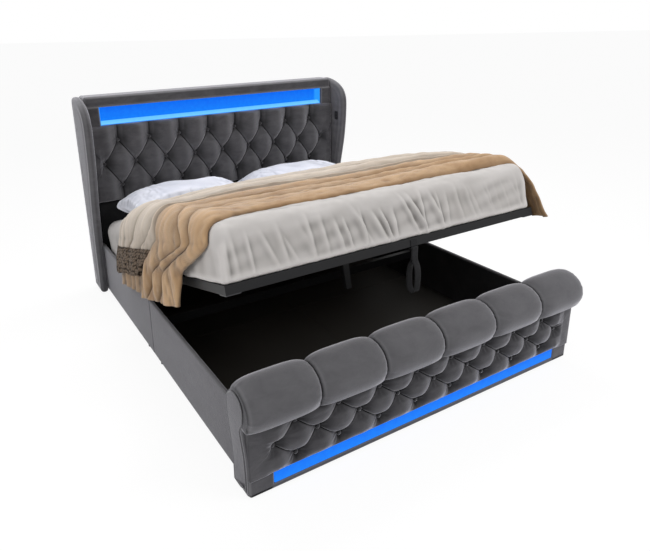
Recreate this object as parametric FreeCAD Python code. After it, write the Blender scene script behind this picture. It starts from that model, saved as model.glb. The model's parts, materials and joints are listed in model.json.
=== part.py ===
import FreeCAD, Part
import math
import os

# Storage bed with a lift-up platform, drawn raised to its resting tilt.
# Millimetres. Origin: middle of the bed on the floor. +X right seen from the foot,
# +Y to the headboard, +Z up.

V = FreeCAD.Vector

# Overall sizes
bed_height = 1340.0
glide_height = 8.0
clearance = 0.3
overrun = 20.0
cloth_overlap = 6.0

# Mattress and the platform that carries it
mattress_length = 2000.0
mattress_width = 1810.0
mattress_thickness = 250.0
mattress_crown = 12.0
bedding_hill = 45.0
mattress_corner = 70.0
mattress_overhang = 5.0
platform_length = mattress_length
platform_width = mattress_width - 2 * mattress_overhang
tube = 40.0
tube_wall = 2.0
rest_tilt = 16.0
open_tilt = 28.0

# Along the bed: overhang, footboard, gap, hinge, room behind the hinge, headboard
roll_overhang = 55.0
footboard_depth = 134.0
foot_gap = 52.0
hinge_setback = 211.0
head_room = 305.0
head_board_depth = 105.0
head_padding = 34.0
hinge_from_foot = platform_length - hinge_setback
bed_length = roll_overhang + footboard_depth + foot_gap + hinge_from_foot + head_room + head_board_depth
headboard_back = bed_length / 2
headboard_core_front = headboard_back - head_board_depth
headboard_face = headboard_core_front - head_padding
hinge_y = headboard_core_front - head_room
closed_foot_edge = hinge_y - hinge_from_foot
footboard_back = closed_foot_edge - foot_gap
footboard_front = footboard_back - footboard_depth

# Across the bed: platform, rails, footboard, wings
platform_half = platform_width / 2
mattress_half = mattress_width / 2
rail_room = 33.0
rail_thickness = 19.0
footboard_step = 29.0
wing_step = 29.0
end_cap_thickness = 22.0
wing_thickness = 50.0
rail_outer = platform_half + rail_room
inner_rail = rail_outer - rail_thickness
footboard_half = rail_outer + footboard_step
cap_inner = footboard_half - end_cap_thickness
wing_outer = footboard_half + wing_step
wing_inner = wing_outer - wing_thickness

# Hinge height, gas struts and side rails
hinge_z = 290.0
strut_arm = 380.0
strut_drop_angle = 37.0
pin_radius = 8.0
running_gap = 0.05
rail_height = 343.0
rail_split_offset = 33.0
rail_split_y = (headboard_core_front + footboard_back) / 2 + rail_split_offset

# Footboard
roll_top = 508.0
roll_height = 176.0
roll_bottom = roll_top - roll_height
roll_channels = 6
foot_pad_depth = 30.0
foot_inner_panel_thickness = 12.0
foot_light_low = 34.0
foot_light_high = 89.0
foot_light_margin = 92.0
foot_light_half = cap_inner - foot_light_margin
light_depth = 10.0

# Headboard
lower_panel_depth = 8.0
wing_round = 20.0
top_band = 70.0
head_light_height = 119.0
head_light_margin = 90.0
head_light_high = bed_height - top_band
head_light_low = head_light_high - head_light_height
head_light_half = wing_inner - head_light_margin
tufted_height = 511.0
tuft_low = head_light_low - tufted_height
recess_depth = 70.0
recess_wall = 4.0
back_cover_thickness = 2.0

# Deep buttoning, shared by both padded panels
button_radius = 12.0
button_height = 7.0
button_sides = 12
dimple_radius = 36.0
dimple_floor_radius = 15.0
groove_half = 46.0
groove_mid_half = 15.0
groove_mid_depth = 7.0
groove_depth = 15.0
buttons_long_row = 9
button_spaces = buttons_long_row - 1
head_button_margin = 85.0
head_button_pitch = 2 * (wing_inner - head_button_margin) / button_spaces
head_button_rows = 3
head_row_gap = 153.0
head_button_rise = 100.0
head_button_low = tuft_low + head_button_rise
head_crest_out = 18.0
head_button_sink = 20.0
head_pad_crest = headboard_face - head_crest_out
head_button_plane = head_pad_crest + head_button_sink
foot_button_margin = 92.0
foot_button_pitch = 2 * (cap_inner - foot_button_margin) / button_spaces
foot_row_share = 0.3148
foot_low_share = 0.1687
foot_row_gap = (roll_bottom - foot_light_high) * foot_row_share
foot_button_low = foot_light_high + (roll_bottom - foot_light_high) * foot_low_share
foot_crest_out = 8.0
foot_button_sink = 18.0
foot_pad_crest = footboard_front - foot_crest_out
foot_button_plane = foot_pad_crest + foot_button_sink

# Heights of the mattress on the platform
mattress_floor = tube
mattress_top = tube + mattress_thickness


def box(x0, x1, y0, y1, z0, z1):
    return Part.makeBox(x1 - x0, y1 - y0, z1 - z0, V(x0, y0, z0))


def rod_x(x0, x1, y, z, radius):
    return Part.makeCylinder(radius, abs(x1 - x0), V(min(x0, x1), y, z), V(1, 0, 0))


def segment(a, b):
    return Part.LineSegment(a, b).toShape()


def arc(a, middle, b):
    return Part.Arc(a, middle, b).toShape()


def yz(x, point):
    return V(x, point[0], point[1])


def eased(crest, other, upright):
    """Middle of the arc that leaves crest straight up, or level, and ends at other."""
    dy = other[0] - crest[0]
    dz = other[1] - crest[1]
    if upright:
        radius = (dy * dy + dz * dz) / (2 * dy)
        centre = (crest[0] + radius, crest[1])
    else:
        radius = (dy * dy + dz * dz) / (2 * dz)
        centre = (crest[0], crest[1] + radius)
    way = V(crest[0] + other[0] - 2 * centre[0], crest[1] + other[1] - 2 * centre[1], 0)
    way.normalize()
    return centre[0] + way.x * abs(radius), centre[1] + way.y * abs(radius)


def outline(steps, place):
    """Closed wire from steps of one point (line to it) or two (arc through the first)."""
    here = steps[0]
    edges = []
    for step in steps[1:]:
        if isinstance(step[0], tuple):
            edges.append(arc(place(here), place(step[0]), place(step[1])))
            here = step[1]
        else:
            edges.append(segment(place(here), place(step)))
            here = step
    edges.append(segment(place(here), place(steps[0])))
    return Part.Wire(edges)


def prism_x(steps, x0, x1):
    wire = outline(steps, lambda point: yz(x0, point))
    return Part.Face(wire).extrude(V(x1 - x0, 0, 0))


def mirror_x(shape):
    return shape.mirror(V(0, 0, 0), V(1, 0, 0))


def both_sides(shapes):
    return list(shapes) + [mirror_x(shape) for shape in shapes]


def write(name, shapes):
    group = shapes if isinstance(shapes, list) else [shapes]
    solids = [solid for shape in group for solid in shape.Solids]
    whole = solids[0] if len(solids) == 1 else Part.makeCompound(solids)
    if not whole.isValid():
        print("not valid:", name)
    whole.exportStep("parts/" + name + ".step")
    bounds = whole.BoundBox
    print("%-24s %2d solids  y %7.1f %7.1f  z %7.1f %7.1f" % (
        name, len(solids), bounds.YMin, bounds.YMax, bounds.ZMin, bounds.ZMax))


# Places along the platform, measured from its foot edge and from its underside

def tilted_point(along, above, tilt=rest_tilt):
    """Where a point of the platform lies, in Y and Z, when it is raised by tilt."""
    turn = math.radians(tilt)
    reach = along - hinge_from_foot
    rise = above - tube / 2
    y = hinge_y + reach * math.cos(turn) + rise * math.sin(turn)
    z = hinge_z - reach * math.sin(turn) + rise * math.cos(turn)
    return y, z


def on_platform(shape):
    placed = shape.copy()
    placed.rotate(V(0, 0, 0), V(1, 0, 0), -rest_tilt)
    y, z = tilted_point(0, 0)
    placed.translate(V(0, y, z))
    return placed


# Headboard

def headboard_core():
    """Boards round the niche: below it, behind it, at both ends and above it."""
    back = headboard_back - back_cover_thickness
    front = headboard_core_front
    lower = box(-wing_inner, wing_inner, front, back, glide_height, head_light_low)
    driver_pocket = box(-driver_length / 2, driver_length / 2, driver_front,
                        headboard_back, driver_low, driver_low + driver_height)
    behind = box(-head_light_half, head_light_half, headboard_face + recess_depth, back,
                 head_light_low, head_light_high)
    end = box(head_light_half, wing_inner, front, back, head_light_low, head_light_high)
    above = box(-wing_inner, wing_inner, front, back, head_light_high, bed_height - top_cap_thickness)
    return [lower.cut(driver_pocket), behind, end, mirror_x(end), above]


top_cap_thickness = 22.0
top_round = 18.0
driver_length = 170.0
driver_height = 46.0
driver_depth = 30.0
driver_drop = 260.0
driver_low = bed_height - driver_drop
driver_front = headboard_back - back_cover_thickness - driver_depth


def headboard_top_border():
    shelf = bed_height - top_cap_thickness
    front, back = headboard_face, headboard_back
    chord_share = 1 - math.sqrt(0.5)
    inset = top_round * chord_share
    steps = [
        (front, head_light_high),
        (front, bed_height - top_round),
        ((front + inset, bed_height - inset), (front + top_round, bed_height)),
        (back - top_round, bed_height),
        ((back - inset, bed_height - inset), (back, bed_height - top_round)),
        (back, shelf),
        (headboard_core_front, shelf),
        (headboard_core_front, head_light_high),
    ]
    top = prism_x(steps, -wing_inner, wing_inner)
    stile = box(head_light_half, wing_inner, front, headboard_core_front,
                head_light_low, head_light_high)
    return top.fuse([stile, mirror_x(stile)]).removeSplitter()


def recess_liner():
    """Five thin boards that line the niche."""
    back = headboard_face + recess_depth
    front = headboard_face + recess_wall
    low, high = head_light_low, head_light_high
    half = head_light_half
    inner_half = half - recess_wall
    floor = box(-half, half, front, back, low, low + recess_wall)
    ceiling = box(-half, half, front, back, high - recess_wall, high)
    rear = box(-inner_half, inner_half, back - recess_wall, back, low + recess_wall, high - recess_wall)
    end = box(inner_half, half, front, back, low + recess_wall, high - recess_wall)
    return [floor, ceiling, rear, end, mirror_x(end)]


diffuser_height = 22.0
diffuser_depth = 30.0


def head_diffuser():
    """Lit strip along the floor of the recess, sloping up to the back."""
    floor = head_light_low + recess_wall
    front = headboard_face + recess_wall
    steps = [
        (front, floor),
        (front, floor + recess_wall),
        (front + diffuser_depth, floor + diffuser_height),
        (front + diffuser_depth, floor),
    ]
    reach = head_light_half - recess_wall
    return prism_x(steps, -reach, reach)


def wing_ring(x, inset):
    """Outline of a wing at x: waist, nose at pillow height, brow; drawn in by inset."""
    nose = headboard_back - wing_depth_nose + inset
    waist = headboard_back - wing_depth_waist + inset
    foot = headboard_back - wing_depth_foot + inset
    top = bed_height - inset
    reach = waist - nose
    low_turn = (foot - reach * low_lean_share, low_height)
    waist_point = (waist, waist_height)
    nose_point = (nose, nose_height)
    brow = (nose + wing_brow, top - wing_brow_drop)
    crown = (headboard_back - top_round * 2, top)
    steps = [
        (headboard_back, glide_height),
        (foot, glide_height),
        low_turn,
        ((waist + reach * hollow_share, (low_height + waist_height) / 2), waist_point),
        (eased(nose_point, waist_point, True), nose_point),
        (eased(nose_point, brow, True), brow),
        (eased(crown, brow, False), crown),
        (headboard_back, top - top_round * 2),
    ]
    return outline(steps, lambda point: yz(x, point))


def wing():
    """Side wing of the headboard: a padded board with rounded front and top edges."""
    rings = []
    for place, inset in zip(wing_place_shares, wing_inset_shares):
        rings.append(wing_ring(wing_inner + wing_thickness * place, wing_round * inset))
    return Part.makeLoft(rings, True, True)


wing_place_shares = (0.0, 0.07, 0.22, 0.42, 0.58, 0.78, 0.93, 1.0)
wing_inset_shares = (1.0, 0.5, 0.14, 0.0, 0.0, 0.14, 0.5, 1.0)
wing_depth_nose = 315.0
wing_depth_waist = 273.0
wing_depth_foot = 182.0
wing_brow = 90.0
wing_brow_drop = 40.0
nose_drop = 180.0
waist_drop = 540.0
nose_height = bed_height - nose_drop
waist_height = bed_height - waist_drop
low_height = 300.0
low_lean_share = 0.3
hollow_share = 1.25


def port_plate(side):
    """Charging port let into a wing: bezel, two socket mouths and their tongues."""
    face = side * wing_inner
    outer = face - side * port_lip
    y0, z0 = port_y, port_z
    low_x, high_x = sorted((face, outer))
    plate = box(low_x, high_x, y0 - port_width / 2, y0 + port_width / 2,
                z0 - port_height / 2, z0 + port_height / 2)
    corners = [edge for edge in plate.Edges if edge.BoundBox.XLength > port_lip / 2]
    plate = plate.makeFillet(port_corner, corners)
    for row_share in port_row_shares:
        centre = z0 + port_height * row_share
        mouth = box(low_x - overrun, high_x + overrun, y0 - mouth_width / 2, y0 + mouth_width / 2,
                    centre - mouth_height / 2, centre + mouth_height / 2)
        tongue = box(low_x, high_x, y0 - mouth_width / 2, y0 + mouth_width / 2,
                     centre - tongue_height / 2, centre + tongue_height / 2)
        plate = plate.cut(mouth).fuse(tongue)
    return plate.removeSplitter()


port_setback = 96.0
port_drop = 280.0
port_y = headboard_face - port_setback
port_z = bed_height - port_drop
port_width = 42.0
port_height = 64.0
port_corner = 8.0
port_lip = 3.0
mouth_width = 13.0
mouth_height = 6.0
tongue_height = 2.0
port_row_shares = (-0.18, 0.18)


# Deep buttoned pads

def rows_of_buttons(pitch, row_gap, low):
    """Button centres: short, long, short rows, set half a pitch apart."""
    rows = []
    for row in range(head_button_rows):
        count = buttons_long_row - 1 if row % 2 == 0 else buttons_long_row
        start = -pitch * (count - 1) / 2
        rows.append([(start + pitch * i, low + row_gap * row) for i in range(count)])
    return rows


def groove(start, end, crest, width_scale):
    """A wedge cut from start to end in the face plane, deepest along its middle."""
    run = V(end[0] - start[0], 0, end[1] - start[1])
    along = V(run)
    along.normalize()
    across = V(along.z, 0, -along.x)
    base = V(start[0], crest, start[1])
    shape = [
        (-groove_half * width_scale, -overrun),
        (-groove_half * width_scale, 0),
        (-groove_mid_half * width_scale, groove_mid_depth),
        (0, groove_depth),
        (groove_mid_half * width_scale, groove_mid_depth),
        (groove_half * width_scale, 0),
        (groove_half * width_scale, -overrun),
    ]
    points = [base + across * side + V(0, depth, 0) for side, depth in shape]
    points.append(points[0])
    return Part.Face(Part.makePolygon(points)).extrude(run)


def dimple(centre, crest, floor):
    """Eight-sided funnel down to a button."""
    sides = 8
    rings = []
    for y, radius in ((crest - clearance, dimple_radius), (floor, dimple_floor_radius)):
        ring = []
        for i in range(sides):
            turn = 2 * math.pi * (i + 0.5) / sides
            ring.append(V(centre[0] + radius * math.cos(turn), y,
                          centre[1] + radius * math.sin(turn)))
        ring.append(ring[0])
        rings.append(Part.makePolygon(ring))
    return Part.makeLoft(rings, True, True)


def buttoned_pad(half_width, low, high, back, crest, floor, rows, row_gap, pitch):
    """A pad with creases that run corner to corner between its sunken buttons."""
    pad = box(-half_width, half_width, crest, back, low, high)
    scale = row_gap / head_row_gap
    width_scale = max(scale, narrow_share)
    tools = []
    last = len(rows) - 1
    span = last * row_gap
    for lean in (-1, 1):
        for x, z in rows[0]:
            far = x + lean * pitch
            if abs(far) <= half_width:
                tools.append(groove((x, z), (far, z + span), crest, width_scale))
            else:
                tools.append(groove((x, z), (x + lean * pitch / 2, z + row_gap), crest, width_scale))
        end_x = -lean * rows[1][-1][0]
        tools.append(groove((end_x, rows[1][0][1]), (end_x + lean * pitch / 2, rows[last][0][1]),
                            crest, width_scale))
    for x, z in rows[0]:
        tools.append(groove((x, low - overrun), (x, z), crest, width_scale))
    for x, z in rows[last]:
        tools.append(groove((x, z), (x, high + overrun), crest, width_scale))
    for row in rows:
        for centre in row:
            tools.append(dimple(centre, crest, floor))
    return pad.cut(tools)


narrow_share = 0.72


def ring_of_points(x, y, z, radius, count):
    points = [V(x + radius * math.cos(2 * math.pi * i / count), y,
                z + radius * math.sin(2 * math.pi * i / count)) for i in range(count)]
    points.append(points[0])
    return Part.makePolygon(points)


def buttons(rows, floor):
    """Covered buttons, each a low drum that narrows to its face."""
    pieces = []
    for row in rows:
        for x, z in row:
            base = ring_of_points(x, floor, z, button_radius, button_sides)
            face = ring_of_points(x, floor - button_height, z, button_radius * button_face_share,
                                  button_sides)
            pieces.append(Part.makeLoft([base, face], True, True))
    return pieces


button_face_share = 0.7


# Footboard

def roll_section(x, fullness):
    """Section of the scroll top: flat back, round crown, front that ends in a lip."""
    back = footboard_back
    shrink = roll_seam_inset * (1 - fullness)
    top = roll_top - shrink
    nose = footboard_front - roll_overhang + shrink
    crown = (footboard_front + roll_peak, top)
    swell = (nose, roll_nose_height)
    shoulder = (back, roll_shoulder_height - shrink)
    lip = (footboard_front - roll_lip_reach + shrink, roll_bottom)
    steps = [
        (back, roll_bottom),
        shoulder,
        (eased(crown, shoulder, False), crown),
        (eased(swell, crown, True), swell),
        (eased(swell, lip, True), lip),
    ]
    return outline(steps, lambda point: yz(x, point))


roll_seam_inset = 17.0
roll_peak = 45.0
roll_nose_drop = 103.0
roll_shoulder_drop = 90.0
roll_nose_height = roll_top - roll_nose_drop
roll_shoulder_height = roll_top - roll_shoulder_drop
roll_lip_reach = 28.0
roll_station_shares = (0.0, 0.05, 0.16, 0.36, 0.64, 0.84, 0.95, 1.0)
roll_fullness_shares = (0.0, 0.5, 0.84, 1.0, 1.0, 0.84, 0.5, 0.0)


def roll_channel(index):
    width = 2 * cap_inner / roll_channels
    start = -cap_inner + width * index
    sections = []
    for place, fullness in zip(roll_station_shares, roll_fullness_shares):
        sections.append(roll_section(start + width * place, fullness))
    return Part.makeLoft(sections, True, True)


def end_cap(side):
    """End of the footboard: the scroll's outline seen from the side."""
    back = footboard_back
    front = footboard_front
    shoulder = roll_bottom + cap_shoulder
    top = roll_top - cap_drop
    tip = front - roll_overhang + cap_drop + cap_step
    steps = [
        (back, glide_height),
        (back, top - cap_curve),
        ((back - cap_curve * 0.36, top - cap_curve * 0.33), (front + cap_peak, top)),
        ((tip + cap_curve * 0.16, top - cap_curve * 0.3), (tip, shoulder + cap_lip)),
        ((tip + cap_lip * 0.22, shoulder + cap_lip * 0.3), (front + cap_neck, shoulder)),
        ((front + cap_neck + cap_lip * 0.2, shoulder - cap_lip / 2),
         (front + cap_neck, shoulder - cap_lip)),
        (front + cap_toe, shoulder - cap_lip * 2.4),
        (front + cap_toe, glide_height),
    ]
    low_x, high_x = sorted((side * cap_inner, side * footboard_half))
    return prism_x(steps, low_x, high_x)


cap_drop = 32.0
cap_step = 4.0
cap_peak = 42.0
cap_curve = 74.0
cap_shoulder = 18.0
cap_lip = 52.0
cap_neck = 32.0
cap_toe = 22.0


def foot_front_border():
    """Plain padded border round the foot light: two end blocks and the strip below."""
    back = footboard_front + foot_pad_depth
    round_edge = border_round
    inset = round_edge * (1 - math.sqrt(0.5))
    steps = [
        (back, glide_height),
        (footboard_front + round_edge, glide_height),
        ((footboard_front + inset, glide_height + inset),
         (footboard_front, glide_height + round_edge)),
        (footboard_front, foot_light_low),
        (back, foot_light_low),
    ]
    strip = prism_x(steps, -cap_inner, cap_inner)
    block = box(foot_light_half, cap_inner, footboard_front, back, foot_light_low, foot_light_high)
    return strip.fuse([block, mirror_x(block)]).removeSplitter()


border_round = 10.0


# Side rails and the bay between them

def side_rail(y0, y1):
    rail = box(inner_rail, rail_outer, y0, y1, glide_height, rail_height)
    tops = [edge for edge in rail.Edges
            if edge.BoundBox.YLength > rail_thickness and edge.CenterOfMass.z > rail_height - clearance]
    return rail.makeFillet(rail_round, tops)


rail_round = 6.0
plate = 4.0
bracket_low = 60.0
bracket_high = 240.0
bracket_leg = 60.0
bolt_head_radius = 7.0
bolt_head_height = 4.0
joint_plate_length = 110.0
beam_share = 0.487
beam_y = closed_foot_edge + platform_length * beam_share
beam_width = 30.0
beam_low = 210.0
beam_high = 260.0
beam_flange = 6.0
beam_flange_grow = 14.0


def rail_brackets():
    """Corner irons at both rail ends and a fish plate over each rail's split, all bolted."""
    face = inner_rail - plate
    pieces = []
    for end_y, way in ((footboard_back, 1), (headboard_core_front - lower_panel_depth, -1)):
        y0, y1 = sorted((end_y, end_y + way * bracket_leg))
        along = box(face, inner_rail, y0, y1, bracket_low, bracket_high)
        w0, w1 = sorted((end_y, end_y + way * plate))
        across = box(face - bracket_leg, face, w0, w1, bracket_low, bracket_high)
        pieces.append(along.fuse(across).removeSplitter())
        for bolt_share in bolt_shares:
            z = bracket_low + (bracket_high - bracket_low) * bolt_share
            pieces.append(rod_x(face - bolt_head_height, face, end_y + way * bracket_leg / 2, z,
                                bolt_head_radius))
    low = rail_split_y - joint_plate_length / 2 + joint_plate_shift
    pieces.append(box(face, inner_rail, low, low + joint_plate_length, bracket_low, bracket_high))
    for end_share in bolt_shares:
        for bolt_share in bolt_shares:
            y = low + joint_plate_length * end_share
            z = bracket_low + (bracket_high - bracket_low) * bolt_share
            pieces.append(rod_x(face - bolt_head_height, face, y, z, bolt_head_radius))
    return both_sides(pieces)


bolt_shares = (0.2, 0.8)
joint_plate_shift = 10.0


def cross_beam():
    """Tube across the bay, welded to a flange at each rail."""
    reach = inner_rail - beam_flange
    body = box(-reach, reach, beam_y - beam_width / 2, beam_y + beam_width / 2, beam_low, beam_high)
    bore = box(-reach - overrun, reach + overrun, beam_y - beam_width / 2 + tube_wall,
               beam_y + beam_width / 2 - tube_wall, beam_low + tube_wall, beam_high - tube_wall)
    body = body.cut(bore)
    flange = box(reach, inner_rail, beam_y - beam_width / 2 - beam_flange_grow,
                 beam_y + beam_width / 2 + beam_flange_grow, beam_low - beam_flange_grow,
                 beam_high + clearance)
    return body.fuse([flange, mirror_x(flange)]).removeSplitter()


bumper_radius = 11.0


def rest_bumpers():
    """Rubber stops that the closed platform lies on."""
    closed_underside = hinge_z - tube / 2
    height = closed_underside - clearance - beam_high
    pads = []
    for x in (-platform_half + tube / 2, 0, platform_half - tube / 2):
        pads.append(Part.makeCylinder(bumper_radius, height, V(x, beam_y, beam_high)))
    return pads


ledge_width = 20.0
ledge_top = 22.0
floor_thickness = 9.0
batten_width = 44.0
floor_gap = 1.0


def floor_ledges():
    """Strips along the rails and a batten on the ground, which carry the bay's floor."""
    y0 = footboard_back
    y1 = headboard_core_front
    ledge = box(inner_rail - ledge_width, inner_rail, y0, y1, glide_height, ledge_top)
    batten = box(-batten_width / 2, batten_width / 2, y0, y1, 0, ledge_top)
    return both_sides([ledge]) + [batten]


def storage_floor():
    top = ledge_top + floor_thickness
    boards = []
    for y0, y1 in ((footboard_back, rail_split_y), (rail_split_y, headboard_core_front)):
        boards.append(box(floor_gap / 2, inner_rail - floor_gap, y0 + floor_gap, y1 - floor_gap,
                          ledge_top, top))
    return both_sides(boards)


glide_radius = 9.0
glide_x_shares = (0.3, 0.95)


def glide_feet():
    feet = []
    for y in (footboard_front + footboard_depth / 2, (headboard_core_front + headboard_back) / 2):
        for share in glide_x_shares:
            feet.append(Part.makeCylinder(glide_radius, glide_height, V(cap_inner * share, y, 0)))
    rail_middle = rail_outer - rail_thickness / 2
    for y in (rail_split_y - joint_plate_length, rail_split_y + joint_plate_length):
        feet.append(Part.makeCylinder(glide_radius, glide_height, V(rail_middle, y, 0)))
    wing_middle = wing_outer - wing_thickness / 2
    feet.append(Part.makeCylinder(glide_radius, glide_height,
                                  V(wing_middle, headboard_back - wing_thickness, 0)))
    return both_sides(feet)


# Lift mechanism

strut_room = 22.0
strut_centre_x = platform_half - tube - strut_room
strut_eye_width = 12.0
strut_eye_radius = 11.0
strut_pin_radius = 5.0
strut_side_play = 0.5
pin_head = 6.0
cylinder_radius = 11.0
cylinder_bore = 9.0
cylinder_length = 205.0
cylinder_floor = 17.0
gland_length = 10.0
rod_radius = 4.0
rod_length = 222.0
piston_length = 8.0
piston_gap = 0.2
base_low = 38.0
base_margin = 34.0
base_top = 312.0
standoff_radius = 13.0
shoulder_radius = 13.0
bush_wall = 4.0

drop = math.radians(strut_drop_angle)
strut_foot = (hinge_y - strut_arm * math.cos(drop), hinge_z - strut_arm * math.sin(drop))
strut_head_along = hinge_from_foot - strut_arm
strut_head = tilted_point(strut_head_along, tube / 2)


def lift_base():
    """Bolted plate that carries the platform's pivot and the strut's lower pin."""
    face = inner_rail - plate
    foot_y, foot_z = strut_foot
    steps = [
        (foot_y - base_margin, base_low),
        (hinge_y + base_margin, base_low),
        (hinge_y + base_margin, base_top),
        (hinge_y - base_margin, base_top),
        (foot_y - base_margin, foot_z + base_margin),
    ]
    sheet = prism_x(steps, face, inner_rail)
    window = [
        (foot_y + base_margin * 1.3, base_low + base_margin),
        (hinge_y - base_margin, base_low + base_margin),
        (hinge_y - base_margin, hinge_z - base_margin * 2.4),
    ]
    sheet = sheet.cut(prism_x(window, face - overrun, inner_rail + overrun))
    inner_stop = strut_centre_x + strut_eye_width / 2 + strut_side_play
    outer_stop = strut_centre_x - strut_eye_width / 2 - strut_side_play
    standoff = rod_x(inner_stop, face, foot_y, foot_z, standoff_radius)
    pin = rod_x(outer_stop, inner_stop, foot_y, foot_z, strut_pin_radius)
    head = rod_x(outer_stop - pin_head, outer_stop, foot_y, foot_z, strut_pin_radius * 1.6)
    pieces = [sheet, standoff, pin, head]
    places = (
        (foot_y, base_low + base_margin * 2.2),
        (hinge_y + base_margin / 2, base_low + base_margin / 2),
        (hinge_y + base_margin / 2, hinge_z - base_margin * 2),
        (foot_y + base_margin * 1.6, base_low + base_margin / 2),
    )
    for y, z in places:
        pieces.append(rod_x(face - bolt_head_height, face, y, z, bolt_head_radius))
    return pieces


def pivot_pin():
    """Shouldered pin from the base plate through the platform's side tube."""
    face = inner_rail - plate
    inside = platform_half - tube
    shaft = pin_radius - running_gap
    shoulder = rod_x(platform_half + strut_side_play, face, hinge_y, hinge_z, shoulder_radius)
    body = rod_x(inside - strut_side_play, platform_half + strut_side_play, hinge_y, hinge_z, shaft)
    head = rod_x(inside - strut_side_play - pin_head, inside - strut_side_play, hinge_y, hinge_z,
                 pin_radius * 1.5)
    return shoulder.fuse([body, head]).removeSplitter()


def upper_strut_pin():
    """Pin on the inner wall of the side tube, in the platform's own places."""
    inside = platform_half - tube
    inner_stop = strut_centre_x + strut_eye_width / 2 + strut_side_play
    outer_stop = strut_centre_x - strut_eye_width / 2 - strut_side_play
    y, z = strut_head_along, tube / 2
    collar = rod_x(inner_stop, inside, y, z, strut_pin_radius * 1.7)
    pin = rod_x(outer_stop, inner_stop, y, z, strut_pin_radius)
    head = rod_x(outer_stop - pin_head, outer_stop, y, z, strut_pin_radius * 1.6)
    return collar.fuse([pin, head]).removeSplitter()


def strut_axis():
    start = V(strut_centre_x, strut_foot[0], strut_foot[1])
    end = V(strut_centre_x, strut_head[0], strut_head[1])
    way = end - start
    length = way.Length
    way.normalize()
    return start, end, way, length


def strut_eye(centre):
    x0 = strut_centre_x - strut_eye_width / 2
    x1 = strut_centre_x + strut_eye_width / 2
    ring = rod_x(x0, x1, centre.y, centre.z, strut_eye_radius)
    return ring, rod_x(x0 - overrun, x1 + overrun, centre.y, centre.z,
                       strut_pin_radius + running_gap)


def strut_cylinder():
    start, end, way, length = strut_axis()
    tube_body = Part.makeCylinder(cylinder_radius, cylinder_length - strut_eye_radius / 2,
                                  start + way * (strut_eye_radius / 2), way)
    eye, hole = strut_eye(start)
    bore = Part.makeCylinder(cylinder_bore, cylinder_length - gland_length - cylinder_floor,
                             start + way * cylinder_floor, way)
    gland = Part.makeCylinder(rod_radius + running_gap, gland_length + overrun,
                              start + way * (cylinder_length - gland_length), way)
    flat_x0 = strut_centre_x - strut_eye_width / 2
    flat_x1 = strut_centre_x + strut_eye_width / 2
    cheeks = []
    for x0, x1 in ((flat_x0 - overrun, flat_x0), (flat_x1, flat_x1 + overrun)):
        cheeks.append(rod_x(x0, x1, start.y, start.z, standoff_radius + clearance))
    body = tube_body.cut(cheeks).fuse(eye)
    return body.cut([hole, bore, gland])


def strut_rod():
    start, end, way, length = strut_axis()
    shaft = Part.makeCylinder(rod_radius, rod_length - strut_eye_radius / 2,
                              end - way * (strut_eye_radius / 2), way * -1)
    eye, hole = strut_eye(end)
    piston = Part.makeCylinder(cylinder_bore - piston_gap, piston_length,
                               end - way * rod_length, way)
    return shaft.fuse([eye, piston]).cut(hole)


# Platform, in its own places: foot edge at 0, underside at 0

def hollow_tube_x(x0, x1, along):
    body = box(x0, x1, along, along + tube, 0, tube)
    bore = box(x0 + tube_wall, x1 - tube_wall, along + tube_wall, along + tube - tube_wall,
               tube_wall, tube - tube_wall)
    return body.cut(bore)


def hollow_tube_y(x0):
    y0, y1 = tube, platform_length - tube
    body = box(x0, x0 + tube, y0, y1, 0, tube)
    bore = box(x0 + tube_wall, x0 + tube - tube_wall, y0 + tube_wall, y1 - tube_wall,
               tube_wall, tube - tube_wall)
    return body.cut(bore)


def platform_side():
    body = hollow_tube_y(platform_half - tube)
    inside = platform_half - tube
    bush = rod_x(inside, platform_half, hinge_from_foot, tube / 2, pin_radius + bush_wall)
    hole = rod_x(inside - overrun, platform_half + overrun, hinge_from_foot, tube / 2, pin_radius)
    return body.fuse(bush).cut(hole).removeSplitter()


corner_leg = 66.0
corner_plate = 4.0


def corner_brackets():
    """Angle plates under the four corners of the frame."""
    pieces = []
    for y0, y1, cross0, cross1 in (
            (0, corner_leg, 0, tube),
            (platform_length - corner_leg, platform_length, platform_length - tube, platform_length)):
        along = box(platform_half - tube, platform_half, y0, y1, -corner_plate, 0)
        across = box(platform_half - corner_leg, platform_half, cross0, cross1, -corner_plate, 0)
        pieces.append(along.fuse(across).removeSplitter())
    return both_sides(pieces)


slat_pitch = strut_arm / 3
slat_width = 60.0
slat_thickness = 10.0
slat_low = 22.0
slat_rise = 7.0
slat_end_gap = 3.0
holder_reach = 30.0
holder_wall = 4.0


def slat_places():
    last = strut_head_along + slat_pitch * 3.5
    count = int((last - tube) / slat_pitch) + 1
    return [last - slat_pitch * i for i in range(count)]


def slat(centre):
    """Sprung slat that arches up between the spine and the side tube."""
    x0 = tube / 2 + slat_end_gap
    x1 = platform_half - tube - slat_end_gap
    middle = (x0 + x1) / 2
    y = centre - slat_width / 2
    low = slat_low
    high = slat_low + slat_thickness
    edges = [
        arc(V(x0, y, low), V(middle, y, low + slat_rise), V(x1, y, low)),
        segment(V(x1, y, low), V(x1, y, high)),
        arc(V(x1, y, high), V(middle, y, high + slat_rise), V(x0, y, high)),
        segment(V(x0, y, high), V(x0, y, low)),
    ]
    return Part.Face(Part.Wire(edges)).extrude(V(0, slat_width, 0))


def slat_holders():
    """Moulded pockets that hold each slat end to its tube."""
    pieces = []
    inner = tube / 2
    outer = platform_half - tube
    for centre in slat_places():
        y0 = centre - slat_width / 2 - holder_wall
        y1 = centre + slat_width / 2 + holder_wall
        for x0, x1 in ((inner, inner + holder_reach), (outer - holder_reach, outer)):
            block = box(x0, x1, y0, y1, slat_low - holder_wall, slat_low + slat_thickness + holder_wall)
            pieces.append(block.cut(slat(centre)))
    return both_sides(pieces)


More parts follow.
